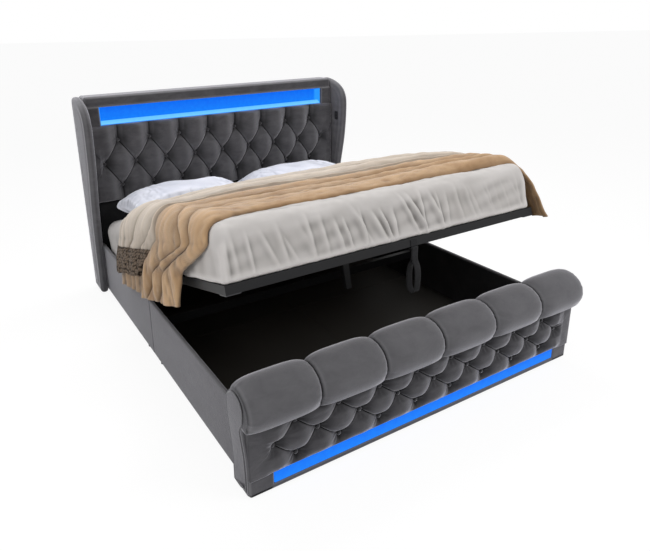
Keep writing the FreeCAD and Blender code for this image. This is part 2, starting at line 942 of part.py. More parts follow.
leg_top = 44.0
leg_foot = 32.0
leg_place_shares = (0.26, 0.74)
leg_collar = 60.0
leg_collar_height = 8.0


def centre_leg(along):
    """Tapered leg under the spine that stands on the bay's floor when the bed is shut."""
    floor = ledge_top + floor_thickness
    length = hinge_z - tube / 2 - floor - clearance
    rings = []
    for z, side in ((-leg_collar_height, leg_top), (-length, leg_foot)):
        half = side / 2
        points = [V(-half, along - half, z), V(half, along - half, z),
                  V(half, along + half, z), V(-half, along + half, z)]
        points.append(points[0])
        rings.append(Part.makePolygon(points))
    leg = Part.makeLoft(rings, True, True)
    half = leg_collar / 2
    collar = box(-half, half, along - half, along + half, -leg_collar_height, 0)
    return leg.fuse(collar).removeSplitter()


# Pull strap at the middle of the foot edge

strap_x = 65.0
strap_width = 36.0
strap_web = 3.0
strap_hem = 5.0
strap_anchor_height = 30.0
strap_neck = 62.0
strap_loop_half = 29.0
strap_length = 232.0


def strap_anchor():
    return box(strap_x - strap_width / 2, strap_x + strap_width / 2, -strap_web, 0,
               0, strap_anchor_height)


strap_pivot = tilted_point(-strap_hem, -strap_hem - clearance)


def lift_strap():
    """Webbing handle that hangs straight down from its hem at the foot tube."""
    y0, z0 = strap_pivot
    low = z0 - strap_length
    neck = z0 - strap_neck
    wide = strap_loop_half
    web = strap_web
    shoulder = neck - wide * 2
    belly = low + wide * 1.3

    def loop(inset):
        half = wide - inset
        steps = [
            (y0 - web + inset * 0.8, neck - inset),
            ((y0 - half * 0.72, neck - wide * 0.9), (y0 - half, shoulder)),
            (y0 - half, belly),
            ((y0, low + inset), (y0 + half, belly)),
            (y0 + half, shoulder),
            ((y0 + half * 0.72, neck - wide * 0.9), (y0 + web - inset * 0.8, neck - inset)),
        ]
        return steps

    x0 = strap_x - strap_width / 2
    x1 = strap_x + strap_width / 2
    ring = prism_x(loop(0), x0, x1).cut(prism_x(loop(web), x0 - overrun, x1 + overrun))
    doubled = box(x0, x1, y0 - web, y0 + web, neck - web, z0)
    hem = rod_x(x0, x1, y0, z0, strap_hem)
    return ring.fuse([doubled, hem]).removeSplitter()


# Mattress, pillows and throws, in the platform's own places

widest_corner_share = 0.7


def pad_ring(x_mid, y_mid, half_w, half_d, corner, draw, z):
    """Level outline with rounded corners and sides drawn in between them."""
    w, d = half_w, half_d
    c = min(corner, d * widest_corner_share)
    k = c * (1 - math.sqrt(0.5))

    def at(x, y):
        return V(x_mid + x, y_mid + y, z)

    edges = [
        arc(at(-w + c, -d), at(0, -d + draw), at(w - c, -d)),
        arc(at(w - c, -d), at(w - k, -d + k), at(w, -d + c)),
        arc(at(w, -d + c), at(w - draw, 0), at(w, d - c)),
        arc(at(w, d - c), at(w - k, d - k), at(w - c, d)),
        arc(at(w - c, d), at(0, d - draw), at(-w + c, d)),
        arc(at(-w + c, d), at(-w + k, d - k), at(-w, d - c)),
        arc(at(-w, d - c), at(-w + draw, 0), at(-w, -d + c)),
        arc(at(-w, -d + c), at(-w + k, -d + k), at(-w + c, -d)),
    ]
    return Part.Wire(edges)


mattress_round = 70.0
mattress_draw = 7.0
mattress_level_shares = (0.0, 0.07, 0.3, 0.55, 0.72, 0.86, 0.95, 1.0)
mattress_inset_shares = (0.16, 0.03, 0.07, 0.06, 0.0, 0.12, 0.42, 0.96)


# Rings of the low hill that the bedding makes before the pillows
hill_side_shares = (0.186, 0.227, 0.354, 0.575)
hill_near_shares = (0.084, 0.118, 0.17, 0.28)
hill_far_shares = (0.916, 0.698, 0.665, 0.59)
hill_rise_shares = (0.1, 0.21, 0.6, 1.0)


def mattress(grow=0):
    """Sheeted mattress: rounded edges, sides drawn in a little, a low hill of bedding on it."""
    y_mid = mattress_length / 2
    rings = []
    for level, inset in zip(mattress_level_shares, mattress_inset_shares):
        z = mattress_floor + clearance + (mattress_thickness - clearance) * level + grow
        in_by = mattress_round * inset - grow
        rings.append(pad_ring(0, y_mid, mattress_half - in_by, mattress_length / 2 - in_by,
                              mattress_corner, mattress_draw, z))
    whole_rise = mattress_crown + bedding_hill
    for side, near, far, rise in zip(hill_side_shares, hill_near_shares, hill_far_shares,
                                     hill_rise_shares):
        y0 = mattress_length * near - grow
        y1 = mattress_length * far + grow
        rings.append(pad_ring(0, (y0 + y1) / 2, mattress_half * (1 - side) + grow, (y1 - y0) / 2,
                              mattress_corner, mattress_draw,
                              mattress_top + whole_rise * rise + grow))
    return Part.makeLoft(rings, True, True)


pillow_gap = 5.0
pillow_edge_room = 15.0
pillow_outer = mattress_half - pillow_edge_room
pillow_corner = 42.0
pillow_depth = 465.0
pillow_setback = 138.0
pillow_back = mattress_length - pillow_setback
pillow_front = pillow_back - pillow_depth
pillow_height = 196.0
pillow_draw = 26.0
pillow_level_shares = (0.0, 0.1, 0.34, 0.6, 0.8, 0.93, 1.0)
pillow_front_shares = (0.07, 0.0, 0.03, 0.13, 0.25, 0.36, 0.47)
pillow_back_shares = (0.1, 0.03, 0.0, 0.07, 0.17, 0.27, 0.4)
pillow_side_shares = (0.05, 0.012, 0.0, 0.035, 0.08, 0.13, 0.2)
pillow_draw_shares = (0.2, 0.7, 1.0, 0.5, 0.2, -0.1, -0.3)


def pillow(side):
    """Plump pillow propped towards the headboard, its sides drawn in between its corners."""
    depth = pillow_back - pillow_front
    width = pillow_outer - pillow_gap
    middle = side * (pillow_outer + pillow_gap) / 2
    base = mattress_top + mattress_crown + clearance
    rings = []
    for level, front, back, edge, draw in zip(
            pillow_level_shares, pillow_front_shares, pillow_back_shares, pillow_side_shares,
            pillow_draw_shares):
        y0 = pillow_front + depth * front
        y1 = pillow_back - depth * back
        rings.append(pad_ring(middle, (y0 + y1) / 2, width * (0.5 - edge), (y1 - y0) / 2,
                              pillow_corner, pillow_draw * draw, base + pillow_height * level))
    return Part.makeLoft(rings, True, True)


throw_thickness = 10.0
seam_gap = 2.0
fall_seam_gap = 6.0
throw_side_reach = 13.0
throw_edge_x = mattress_half + throw_side_reach
strip_drop = 50.0
strip_floor = mattress_top - strip_drop

# Sections of the throws from left to right: front edge, line between them, far edge
throw_place_shares = (-1.0, -0.937, -0.871, -0.697, -0.436, 0.0, 0.436, 0.763, 0.937, 1.0)
tan_near = (92.0, 95.0, 105.0, 185.0, 165.0, 125.0, 120.0, 92.0, 72.0, 59.0)
throw_seam = (690.0, 735.0, 742.0, 698.0, 640.0, 545.0, 452.0, 380.0, 340.0, 325.0)
cream_far = (1385.0, 1300.0, 1258.0, 1204.0, 1126.0, 995.0, 760.0, 615.0, 500.0, 450.0)

# Heights above the mattress floor of front edge, first fold, dip, second fold and far edge
tan_tops = (
    (28.0, 56.0, 60.0, 68.0, 68.0, 66.0, 66.0, 66.0, 68.0, 72.0),
    (32.0, 62.0, 78.0, 105.0, 110.0, 105.0, 105.0, 102.0, 96.0, 78.0),
    (28.0, 56.0, 66.0, 92.0, 100.0, 98.0, 98.0, 95.0, 90.0, 74.0),
    (30.0, 60.0, 85.0, 122.0, 132.0, 128.0, 134.0, 136.0, 120.0, 90.0),
    (22.0, 52.0, 64.0, 110.0, 132.0, 122.0, 134.0, 138.0, 116.0, 88.0),
)
cream_tops = (
    (22.0, 52.0, 64.0, 110.0, 132.0, 122.0, 134.0, 138.0, 116.0, 88.0),
    (26.0, 60.0, 90.0, 135.0, 160.0, 155.0, 158.0, 160.0, 135.0, 95.0),
    (24.0, 56.0, 82.0, 126.0, 152.0, 148.0, 150.0, 152.0, 128.0, 90.0),
    (28.0, 72.0, 100.0, 144.0, 180.0, 178.0, 172.0, 164.0, 142.0, 98.0),
    (22.0, 58.0, 72.0, 100.0, 125.0, 130.0, 125.0, 110.0, 95.0, 78.0),
)
fold_place_shares = (0.0, 0.33, 0.5, 0.78, 1.0)

# Edges of the falls: along the platform, and heights of their levels
left_fall_top = 250.0
right_fall_top = 300.0
cream_left_top = (700.0, 1384.0)
band_top_edge = (790.0, 1395.0)
band_top_heights = (160.0, 232.0)
band_hem_edge = (925.0, 1470.0)
band_hem_heights = (30.0, 35.0)
cream_right_top = (332.0, 446.0)
cream_right_hem = (336.0, 450.0)
cream_right_height = 120.0
tan_left_nears = (92.0, 88.0, 80.0, 150.0, 330.0, 388.0)
tan_left_heights = (250.0, 238.0, 195.0, 157.0, 90.0, 17.0)
tan_left_far_top = 688.0
tan_skirt_top = (396.0, 1480.0)
tan_skirt_height = 27.0
tan_skirt_hem = (436.0, 1495.0)
tan_skirt_heights = (-112.0, -76.0)
tan_right_nears = (60.0, 12.0, -20.0, -40.0)
tan_right_fars = (319.0, 312.0, 304.0, 296.0)
tan_right_heights = (300.0, 207.0, 70.0, -15.0)

# How far out the falls hang: over the mattress edge, at its underside, past the rails
fall_top_room = 3.0
fall_mid_room = 21.0
fall_top_x = mattress_half + fall_top_room
fall_mid_x = mattress_half + fall_mid_room
fall_low_x = rail_outer + cloth_overlap
fall_hem_x = fall_low_x + cloth_overlap
skirt_set_out = 1.5
skirt_x = fall_hem_x + skirt_set_out
top_swing = 4.0
mid_swing = 9.0
hem_swing = 14.0


def folded_strip(nears, fars, tops):
    """Cloth laid over the bedding in two soft folds, its underside shaped by the mattress."""
    rings = []
    for i, share in enumerate(throw_place_shares):
        x = throw_edge_x * share
        near, far = nears[i], fars[i]
        points = [V(x, near, strip_floor)]
        for row, place in zip(tops, fold_place_shares):
            points.append(V(x, near + (far - near) * place, strip_floor + row[i]))
        points.append(V(x, far, strip_floor))
        points.append(points[0])
        rings.append(Part.makePolygon(points))
    strip = Part.makeLoft(rings, True, True)
    return strip.cut(mattress(clearance))


def fall_ring(side, waves, near, far, near_z, far_z, inner_x, swing):
    """Slice of a hanging fall, every second wave pushed out, between its two edges."""

    def at(x, share):
        return V(side * x, near + (far - near) * share, near_z + (far_z - near_z) * share)

    edges = []
    outer = inner_x + throw_thickness
    for x, places in ((inner_x, range(waves)), (outer, range(waves - 1, -1, -1))):
        for i in places:
            ends = [i / waves, (i + 1) / waves]
            if x == outer:
                ends.reverse()
            start, end = at(x, ends[0]), at(x, ends[1])
            if i % 2 == 0:
                edges.append(arc(start, at(x + swing, (ends[0] + ends[1]) / 2), end))
            else:
                edges.append(segment(start, end))
        if x == inner_x:
            edges.append(segment(at(inner_x, 1), at(outer, 1)))
    edges.append(segment(at(outer, 0), at(inner_x, 0)))
    return Part.Wire(edges)


def fall(side, waves, levels):
    """Hanging end of a throw, lofted down through its slices."""
    rings = [fall_ring(side, waves, *level) for level in levels]
    return Part.makeLoft(rings, True, True)


def between(pair, share):
    return pair[0] + (pair[1] - pair[0]) * share


def cream_front_edge(height):
    """Where the pale fall's front edge lies at a height, on its way down to the band's hem."""
    if height >= band_top_heights[0]:
        span = left_fall_top - band_top_heights[0]
        return between((cream_left_top[0], band_top_edge[0]), (left_fall_top - height) / span)
    span = band_top_heights[0] - band_hem_heights[0]
    return between((band_top_edge[0], band_hem_edge[0]), (band_top_heights[0] - height) / span)


def cream_throw():
    nears = [place + seam_gap / 2 for place in throw_seam]
    strip = folded_strip(nears, cream_far, cream_tops)
    left = fall(-1, 7, [
        (*cream_left_top, left_fall_top, left_fall_top, fall_top_x, top_swing),
        (*band_top_edge, *band_top_heights, fall_mid_x, mid_swing),
    ])
    right = fall(1, 3, [
        (*cream_right_top, right_fall_top, right_fall_top, fall_top_x, top_swing),
        (*cream_right_hem, cream_right_height, cream_right_height, fall_mid_x, mid_swing),
    ])
    return strip.fuse([left, right]).removeSplitter()


def throw_band():
    """Knitted end that carries on from the pale throw's left fall."""
    return fall(-1, 7, [
        (*band_top_edge, *band_top_heights, fall_mid_x, mid_swing),
        (*band_hem_edge, *band_hem_heights, fall_hem_x, hem_swing),
    ])


def tan_throw():
    """Tan throw along the pale one's front, longer than it, so it shows below the band."""
    fars = [place - seam_gap / 2 for place in throw_seam]
    strip = folded_strip(tan_near, fars, tan_tops)
    levels = []
    outs = (fall_top_x, fall_top_x, between((fall_top_x, fall_mid_x), 0.7), fall_mid_x, fall_low_x,
            fall_hem_x)
    swings = (top_swing, top_swing, mid_swing, mid_swing, hem_swing, hem_swing)
    for near, height, out, swing in zip(tan_left_nears, tan_left_heights, outs, swings):
        far = cream_front_edge(height) - fall_seam_gap
        if height > strip_floor - overrun:
            far = tan_left_far_top
        levels.append((near, far, height, height, out, swing))
    upper = fall(-1, 5, levels)
    lower = fall(-1, 11, [
        (*tan_skirt_top, tan_skirt_height, tan_skirt_height, skirt_x, hem_swing),
        (*tan_skirt_hem, *tan_skirt_heights, skirt_x, hem_swing),
    ])
    outs = (fall_top_x, fall_mid_x, fall_low_x, fall_hem_x)
    swings = (top_swing, mid_swing, hem_swing, hem_swing)
    right = fall(1, 3, [
        (near, far, height, height, out, swing)
        for near, far, height, out, swing in zip(tan_right_nears, tan_right_fars, tan_right_heights,
                                                 outs, swings)])
    return strip.fuse([upper, lower, right]).removeSplitter()



def build():
    os.makedirs("parts", exist_ok=True)
    head_rows = rows_of_buttons(head_button_pitch, head_row_gap, head_button_low)
    foot_rows = rows_of_buttons(foot_button_pitch, foot_row_gap, foot_button_low)

    write("headboard_core", headboard_core())
    write("headboard_top_border", headboard_top_border())
    write("headboard_tufted_pad", buttoned_pad(
        wing_inner, tuft_low, head_light_low, headboard_core_front, head_pad_crest,
        head_button_plane, head_rows, head_row_gap, head_button_pitch))
    write("headboard_buttons", buttons(head_rows, head_button_plane))
    write("headboard_lower_panel", box(
        -inner_rail + floor_gap, inner_rail - floor_gap, headboard_core_front - lower_panel_depth,
        headboard_core_front, ledge_top + floor_thickness, tuft_low))
    write("headboard_back_cover", box(
        -wing_inner, wing_inner, headboard_back - back_cover_thickness, headboard_back,
        glide_height, bed_height - top_cap_thickness))
    write("headboard_recess_liner", recess_liner())
    write("headboard_led_diffuser", head_diffuser())
    right_wing = wing()
    write("wing_right", right_wing)
    write("wing_left", mirror_x(right_wing))
    write("usb_port_right", port_plate(1))
    write("usb_port_left", port_plate(-1))
    write("led_driver", box(
        -driver_length / 2 + clearance, driver_length / 2 - clearance, driver_front,
        headboard_back - back_cover_thickness, driver_low, driver_low + driver_height - clearance))

    core_front = footboard_front + foot_pad_depth
    core_back = footboard_back - foot_inner_panel_thickness
    write("footboard_core", box(-cap_inner, cap_inner, core_front, core_back,
                                glide_height, roll_bottom))
    write("footboard_inner_panel", box(-cap_inner, cap_inner, core_back, footboard_back,
                                       glide_height, roll_bottom))
    write("footboard_roll", [roll_channel(i) for i in range(roll_channels)])
    write("footboard_tufted_pad", buttoned_pad(
        cap_inner, foot_light_high, roll_bottom, core_front, foot_pad_crest, foot_button_plane,
        foot_rows, foot_row_gap, foot_button_pitch))
    write("footboard_buttons", buttons(foot_rows, foot_button_plane))
    write("footboard_front_border", foot_front_border())
    write("footboard_led_strip", box(-foot_light_half, foot_light_half, core_front - light_depth,
                                     core_front, foot_light_low, foot_light_high))
    write("footboard_end_right", end_cap(1))
    write("footboard_end_left", end_cap(-1))

    foot_rail = side_rail(footboard_back, rail_split_y)
    head_rail = side_rail(rail_split_y, headboard_core_front)
    write("side_rail_right_foot", foot_rail)
    write("side_rail_left_foot", mirror_x(foot_rail))
    write("side_rail_right_head", head_rail)
    write("side_rail_left_head", mirror_x(head_rail))
    write("rail_brackets", rail_brackets())
    write("cross_beam", cross_beam())
    write("rest_bumpers", rest_bumpers())
    write("floor_ledges", floor_ledges())
    write("storage_floor", storage_floor())
    write("glide_feet", glide_feet())

    base = lift_base()
    write("lift_base_right", base)
    write("lift_base_left", [mirror_x(piece) for piece in base])
    write("pivot_pins", both_sides([pivot_pin()]))
    cylinder = strut_cylinder()
    rod = strut_rod()
    write("strut_cylinder_right", cylinder)
    write("strut_cylinder_left", mirror_x(cylinder))
    write("strut_rod_right", rod)
    write("strut_rod_left", mirror_x(rod))

    side = on_platform(platform_side())
    write("platform_side_right", side)
    write("platform_side_left", mirror_x(side))
    write("platform_foot_tube", on_platform(hollow_tube_x(-platform_half, platform_half, 0)))
    write("platform_head_tube", on_platform(
        hollow_tube_x(-platform_half, platform_half, platform_length - tube)))
    write("platform_spine", on_platform(hollow_tube_y(-tube / 2)))
    write("corner_brackets", [on_platform(piece) for piece in corner_brackets()])
    write("strut_pins_upper", [on_platform(piece) for piece in both_sides([upper_strut_pin()])])
    right_slats = [on_platform(slat(centre)) for centre in slat_places()]
    write("slats_right", right_slats)
    write("slats_left", [mirror_x(piece) for piece in right_slats])
    write("slat_holders", [on_platform(piece) for piece in slat_holders()])
    write("centre_leg_front", on_platform(centre_leg(platform_length * leg_place_shares[0])))
    write("centre_leg_rear", on_platform(centre_leg(platform_length * leg_place_shares[1])))
    write("strap_anchor", on_platform(strap_anchor()))
    write("lift_strap", lift_strap())

    write("mattress", on_platform(mattress()))
    write("pillow_right", on_platform(pillow(1)))
    write("pillow_left", on_platform(pillow(-1)))
    write("cream_throw", on_platform(cream_throw()))
    write("throw_band", on_platform(throw_band()))
    write("tan_throw", on_platform(tan_throw()))


build()
start, end, way, length = strut_axis()
print("strut foot", strut_foot, "strut head at rest", strut_head, "length at rest", length)
print("strap pivot", strap_pivot)
for tilt in (0, rest_tilt, open_tilt):
    print("tilt", tilt, "foot edge", tilted_point(0, 0, tilt),
          "mattress head edge", tilted_point(mattress_length, mattress_top, tilt))
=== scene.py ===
import bpy
import bmesh
import json
import math
import numpy as np
from functools import partialmethod
from mathutils import Matrix, Vector


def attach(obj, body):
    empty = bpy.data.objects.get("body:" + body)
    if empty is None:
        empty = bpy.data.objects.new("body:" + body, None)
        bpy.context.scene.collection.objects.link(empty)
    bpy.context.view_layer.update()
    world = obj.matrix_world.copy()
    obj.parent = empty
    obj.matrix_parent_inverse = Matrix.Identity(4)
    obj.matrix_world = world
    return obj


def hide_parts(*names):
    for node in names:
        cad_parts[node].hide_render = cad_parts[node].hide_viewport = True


# Storage bed, raised on its gas struts: velvet headboard and footboard with deep buttons,
# two lit strips, a slatted platform and the bedding on it. Metres, +Z up, the foot at -Y.

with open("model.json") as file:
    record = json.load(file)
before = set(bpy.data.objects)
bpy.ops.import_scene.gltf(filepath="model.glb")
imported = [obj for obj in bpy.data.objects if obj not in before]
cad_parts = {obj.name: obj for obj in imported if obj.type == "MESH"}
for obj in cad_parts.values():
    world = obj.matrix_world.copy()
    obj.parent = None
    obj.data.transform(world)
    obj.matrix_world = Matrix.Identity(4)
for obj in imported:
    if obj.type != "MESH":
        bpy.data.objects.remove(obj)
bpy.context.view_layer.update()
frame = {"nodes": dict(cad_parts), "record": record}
cadNodes = frame["nodes"]
bothSides = ((-1, "left"), (1, "right"))


# camera of the photograph

view = {
    "place": (-1.728, -2.857, 1.786),
    "heading": 30.57,      # degrees right of +Y
    "down": 18.20,
    "roll": -1.18,
    "lens": 32.754,
    "shift": (0.04657, -0.09546),
}


def addCamera():
    heading, down, roll = (math.radians(view[key]) for key in ("heading", "down", "roll"))
    ahead = Vector((math.sin(heading) * math.cos(down), math.cos(heading) * math.cos(down),
                    -math.sin(down)))
    level = Vector((math.cos(heading), -math.sin(heading), 0))
    upright = level.cross(ahead)
    right = level * math.cos(roll) + upright * math.sin(roll)
    up = upright * math.cos(roll) - level * math.sin(roll)
    data = bpy.data.cameras.new("photoView")
    data.lens = view["lens"]
    data.sensor_width = 36
    data.shift_x, data.shift_y = view["shift"]
    data.clip_end = 60
    camera = bpy.data.objects.new("photoView", data)
    turn = Matrix((right, up, -ahead)).transposed().to_4x4()
    camera.matrix_world = Matrix.Translation(view["place"]) @ turn
    bpy.context.collection.objects.link(camera)
    bpy.context.scene.camera = camera


studio = {
    "floor": (0.82, 0.82, 0.82),
    "floorGlow": 0.86,     # how white the camera sees the floor; the rest is its shadow
    "floorLight": 1.06,
    "floorSize": 240,
    "ambient": 0.42,
    "lamps": {             # place, aim, size and watts
        "keyLamp": ((1.9, -3.6, 3.7), (0, 0, 0.5), (2.0, 1.4), 74),
        "fillLamp": ((-3.8, -1.7, 2.3), (0, 0, 0.6), (1.5, 1.2), 32),
        "backLamp": ((0.2, 1.6, 3.9), (0, -0.5, 0.6), (3.0, 1.4), 84),
    },
}


def addLamp(name, spot, target, size, watts):
    data = bpy.data.lights.new(name, "AREA")
    data.shape = "RECTANGLE"
    data.size, data.size_y = size
    data.energy = watts
    lamp = bpy.data.objects.new(name, data)
    lamp.location = spot
    lamp.rotation_euler = (Vector(target) - Vector(spot)).to_track_quat("-Z", "Y").to_euler()
    bpy.context.collection.objects.link(lamp)


def seenAtOnce(tree):
    # 1 for what the camera or a reflection sees, 0 for the light that falls on things
    rays = addNode(tree, "ShaderNodeLightPath")
    return mathNode(tree, "MAXIMUM", rays.outputs["Is Camera Ray"], rays.outputs["Is Glossy Ray"])


def addStudio():
    scene = bpy.context.scene
    scene.view_settings.view_transform = "Standard"
    world = bpy.data.worlds.new("paleRoom")
    scene.world = world
    world.use_nodes = True
    tree = world.node_tree
    tree.nodes.clear()
    lit = addNode(tree, "ShaderNodeMix", {"data_type": "FLOAT"}, Factor=seenAtOnce(tree),
                  A=studio["ambient"], B=1.0)
    sky = addNode(tree, "ShaderNodeBackground", Color=(1, 1, 1, 1), Strength=lit.outputs["Result"])
    addNode(tree, "ShaderNodeOutputWorld", Surface=sky.outputs[0])
    for name, lamp in studio["lamps"].items():
        addLamp(name, *lamp)
    bpy.ops.mesh.primitive_plane_add(size=studio["floorSize"])
    floor = bpy.context.object
    floor.name = "studioFloor"
    floor.data.materials.append(floorFinish())


def floorFinish():
    material, tree, shader = newFinish("paleFloor", roughness=0.9, specular=0.1)
    shader.inputs["Base Color"].default_value = (*studio["floor"], 1)
    share = mathNode(tree, "MULTIPLY", seenAtOnce(tree), studio["floorGlow"])
    glow = addNode(tree, "ShaderNodeEmission", Strength=studio["floorLight"])
    mix = addNode(tree, "ShaderNodeMixShader")
    for socket, source in zip(mix.inputs, (share, shader.outputs[0], glow.outputs[0])):
        tree.links.new(source, socket)
    tree.links.new(mix.outputs[0], tree.nodes["Material Output"].inputs["Surface"])
    return material


# finishes

def newFinish(name, roughness=0.8, metallic=0.0, sheen=0.0, sheenRoughness=0.4,
              sheenTint=(1, 1, 1), specular=0.3):
    material = bpy.data.materials.new(name)
    material.use_nodes = True
    shader = material.node_tree.nodes["Principled BSDF"]
    shader.inputs["Roughness"].default_value = roughness
    shader.inputs["Metallic"].default_value = metallic
    shader.inputs["Sheen Weight"].default_value = sheen
    shader.inputs["Sheen Roughness"].default_value = sheenRoughness
    shader.inputs["Sheen Tint"].default_value = (*sheenTint, 1)
    shader.inputs["Specular IOR Level"].default_value = specular
    return material, material.node_tree, shader


def feed(tree, socket, value):
    # a value, or another node's output
    if hasattr(value, "is_output"):
        tree.links.new(value, socket)
    else:
        socket.default_value = value


def addNode(tree, kind, settings=None, **values):
    # a key's underscore stands for the space in the socket's name
    node = tree.nodes.new(kind)
    for key, value in (settings or {}).items():
        setattr(node, key, value)
    for key, value in values.items():
        feed(tree, node.inputs[key.replace("_", " ")], value)
    return node


def mathNode(tree, kind, *values):
    node = addNode(tree, "ShaderNodeMath", {"operation": kind})
    for socket, value in zip(node.inputs, values):
        feed(tree, socket, value)
    return node.outputs[0]


def spotAt(tree, scale=(1, 1, 1), turn=(0, 0, 0), source="Object"):
    coords = addNode(tree, "ShaderNodeTexCoord")
    return addNode(tree, "ShaderNodeMapping", Vector=coords.outputs[source], Scale=scale,
                   Rotation=turn).outputs["Vector"]


def markAt(tree, label):
    return addNode(tree, "ShaderNodeAttribute", {"attribute_name": label}).outputs["Fac"]


def noiseAt(tree, vector, scale, detail=3.0, roughness=0.5, distortion=0.0):
    return addNode(tree, "ShaderNodeTexNoise", Vector=vector, Scale=scale, Detail=detail,
                   Roughness=roughness, Distortion=distortion).outputs["Fac"]


def blendTints(tree, factor, low, high, span=(0.3, 0.7)):
    ramp = addNode(tree, "ShaderNodeMapRange", Value=factor, From_Min=span[0], From_Max=span[1])
    mix = addNode(tree, "ShaderNodeMix", {"data_type": "RGBA"}, Factor=ramp.outputs["Result"])
    for socket, tint in zip([item for item in mix.inputs if item.type == "RGBA"], (low, high)):
        feed(tree, socket, tint if hasattr(tint, "is_output") else (*tint, 1))
    return [item for item in mix.outputs if item.type == "RGBA"][0]


def addBump(tree, shader, height, strength, distance, under=None):
    bump = addNode(tree, "ShaderNodeBump", Height=height, Strength=strength, Distance=distance)
    if under is not None:
        tree.links.new(under, bump.inputs["Normal"])
    tree.links.new(bump.outputs["Normal"], shader.inputs["Normal"])
    return bump.outputs["Normal"]


velvet = {
    "shade": (0.056, 0.054, 0.059),
    "nap": (0.096, 0.094, 0.100),
    "paintedLight": (0.24, 0.238, 0.25),   # painted highlight: sheen and light laid into the colour along seams, rims and lit sides
    # painted shade in creases, seams, dimples and button recesses
    "crease": (0.012, 0.012, 0.013),
    "surface": {"roughness": 0.95, "sheen": 1.0, "sheenRoughness": 0.42,
                "sheenTint": (0.95, 0.94, 1.0), "specular": 0.15},
    # noises: scale, detail, roughness and distortion; bumps: strength and distance
    "strokes": (9.0, 5, 0.68, 0.5), "strokeStretch": (1, 1, 2.2), "strokeTurn": (0.3, 0.2, 0.5),
    "pile": (1500, 2, 0.6), "pileBump": (0.35, 0.0006),
    "crush": (46, 4, 0.55, 0.4), "crushBump": (0.18, 0.004),
}


def velvetFinish():
    material, tree, shader = newFinish("charcoalVelvet", **velvet["surface"])
    spot = spotAt(tree)
    stretched = spotAt(tree, velvet["strokeStretch"], velvet["strokeTurn"])
    body = blendTints(tree, noiseAt(tree, stretched, *velvet["strokes"]), velvet["shade"], velvet["nap"])
    # painted highlight from the highlight mark, then painted shade from the shade mark
    paintedLight = blendTints(tree, markAt(tree, "rim"), body, velvet["paintedLight"], (0.0, 1.0))
    tint = blendTints(tree, markAt(tree, "deep"), paintedLight, velvet["crease"], (0.0, 1.0))
    tree.links.new(tint, shader.inputs["Base Color"])
    normal = addBump(tree, shader, noiseAt(tree, spot, *velvet["pile"]), *velvet["pileBump"])
    addBump(tree, shader, noiseAt(tree, spot, *velvet["crush"]), *velvet["crushBump"], normal)
    return material


def weaveHeight(tree, threads, turn=0.0, source="Object"):
    # two crossed thread waves, per metre
    spot = spotAt(tree, turn=(0, 0, turn), source=source)
    threadWaves = [
        addNode(tree, "ShaderNodeTexWave",
                {"wave_type": "BANDS", "bands_direction": direction, "wave_profile": "SIN"},
                Vector=spot, Scale=threads * 0.314, Distortion=0.6, Detail=1.0).outputs["Fac"]
        for direction in ("X", "Y")]
    return mathNode(tree, "MULTIPLY", *threadWaves)


def clothFinish(name, low, high, threads, bump, sheen=0.25, patch=9.0, fuzz=0.0, source="UV",
                turn=0.0, folds=0.0, shadow=0.3):
    material, tree, shader = newFinish(name, roughness=0.88, sheen=sheen, sheenRoughness=0.5,
                                       specular=0.18)
    spot = spotAt(tree)
    cloud = noiseAt(tree, spot, patch, 5, 0.6, 0.3)
    tint = blendTints(tree, cloud, low, high)
    # painted highlight on crests and painted shade in hollows, read from the marks
    for label, end in (("rim", [min(1.0, value * 1.18) for value in high]),
                       ("deep", [value * shadow for value in low])):
        tint = blendTints(tree, markAt(tree, label), tint, end, (0.0, 1.0))
    tree.links.new(tint, shader.inputs["Base Color"])
    normal = addBump(tree, shader, weaveHeight(tree, threads, turn, source), bump, 0.0012)
    if fuzz:
        normal = addBump(tree, shader, noiseAt(tree, spot, 420, 4, 0.7), fuzz, 0.002, normal)
    if folds:
        crease = noiseAt(tree, spotAt(tree, scale=(1, 1, 0.35)), 13, 5, 0.6, 1.6)
        addBump(tree, shader, crease, folds, 0.02, normal)
    return material


knit = {
    "yarn": (0.200, 0.150, 0.112),
    "gap": (0.022, 0.016, 0.012),
    "stitchesPerMetre": 70, "rowsPerMetre": 42, "uneven": 0.75,
    "wobbleScale": 38.0, "wobble": 0.006,
    "yarnSpan": (0.22, 0.72), "loopBump": (0.9, 0.006), "fuzz": (900, 3, 0.7), "fuzzBump": (0.35, 0.001),
}


def knitFinish():
    # loops of thick yarn, laid out on the band's own unrolled size
    material, tree, shader = newFinish("knittedWool", roughness=0.95, sheen=0.08, specular=0.1)
    coords = addNode(tree, "ShaderNodeTexCoord").outputs["UV"]
    wobble = addNode(tree, "ShaderNodeTexNoise", Vector=coords, Scale=knit["wobbleScale"],
                     Detail=2.0)
    shift = addNode(tree, "ShaderNodeVectorMath", {"operation": "SCALE"},
                    Vector=wobble.outputs["Color"], Scale=knit["wobble"])
    moved = addNode(tree, "ShaderNodeVectorMath", {"operation": "ADD"}, Vector=coords)
    tree.links.new(shift.outputs[0], moved.inputs[1])
    cells = addNode(tree, "ShaderNodeMapping", Vector=moved.outputs[0],
                    Scale=(knit["stitchesPerMetre"], knit["rowsPerMetre"], 1))
    loops = addNode(tree, "ShaderNodeTexVoronoi", {"feature": "F1", "voronoi_dimensions": "2D"},
                    Vector=cells.outputs[0], Scale=1.0,
                    Randomness=knit["uneven"]).outputs["Distance"]
    tint = blendTints(tree, loops, knit["yarn"], knit["gap"], knit["yarnSpan"])
    tree.links.new(tint, shader.inputs["Base Color"])
    normal = addBump(tree, shader, mathNode(tree, "SUBTRACT", 1.0, loops), *knit["loopBump"])
    addBump(tree, shader, noiseAt(tree, coords, *knit["fuzz"]), *knit["fuzzBump"], normal)
    return material


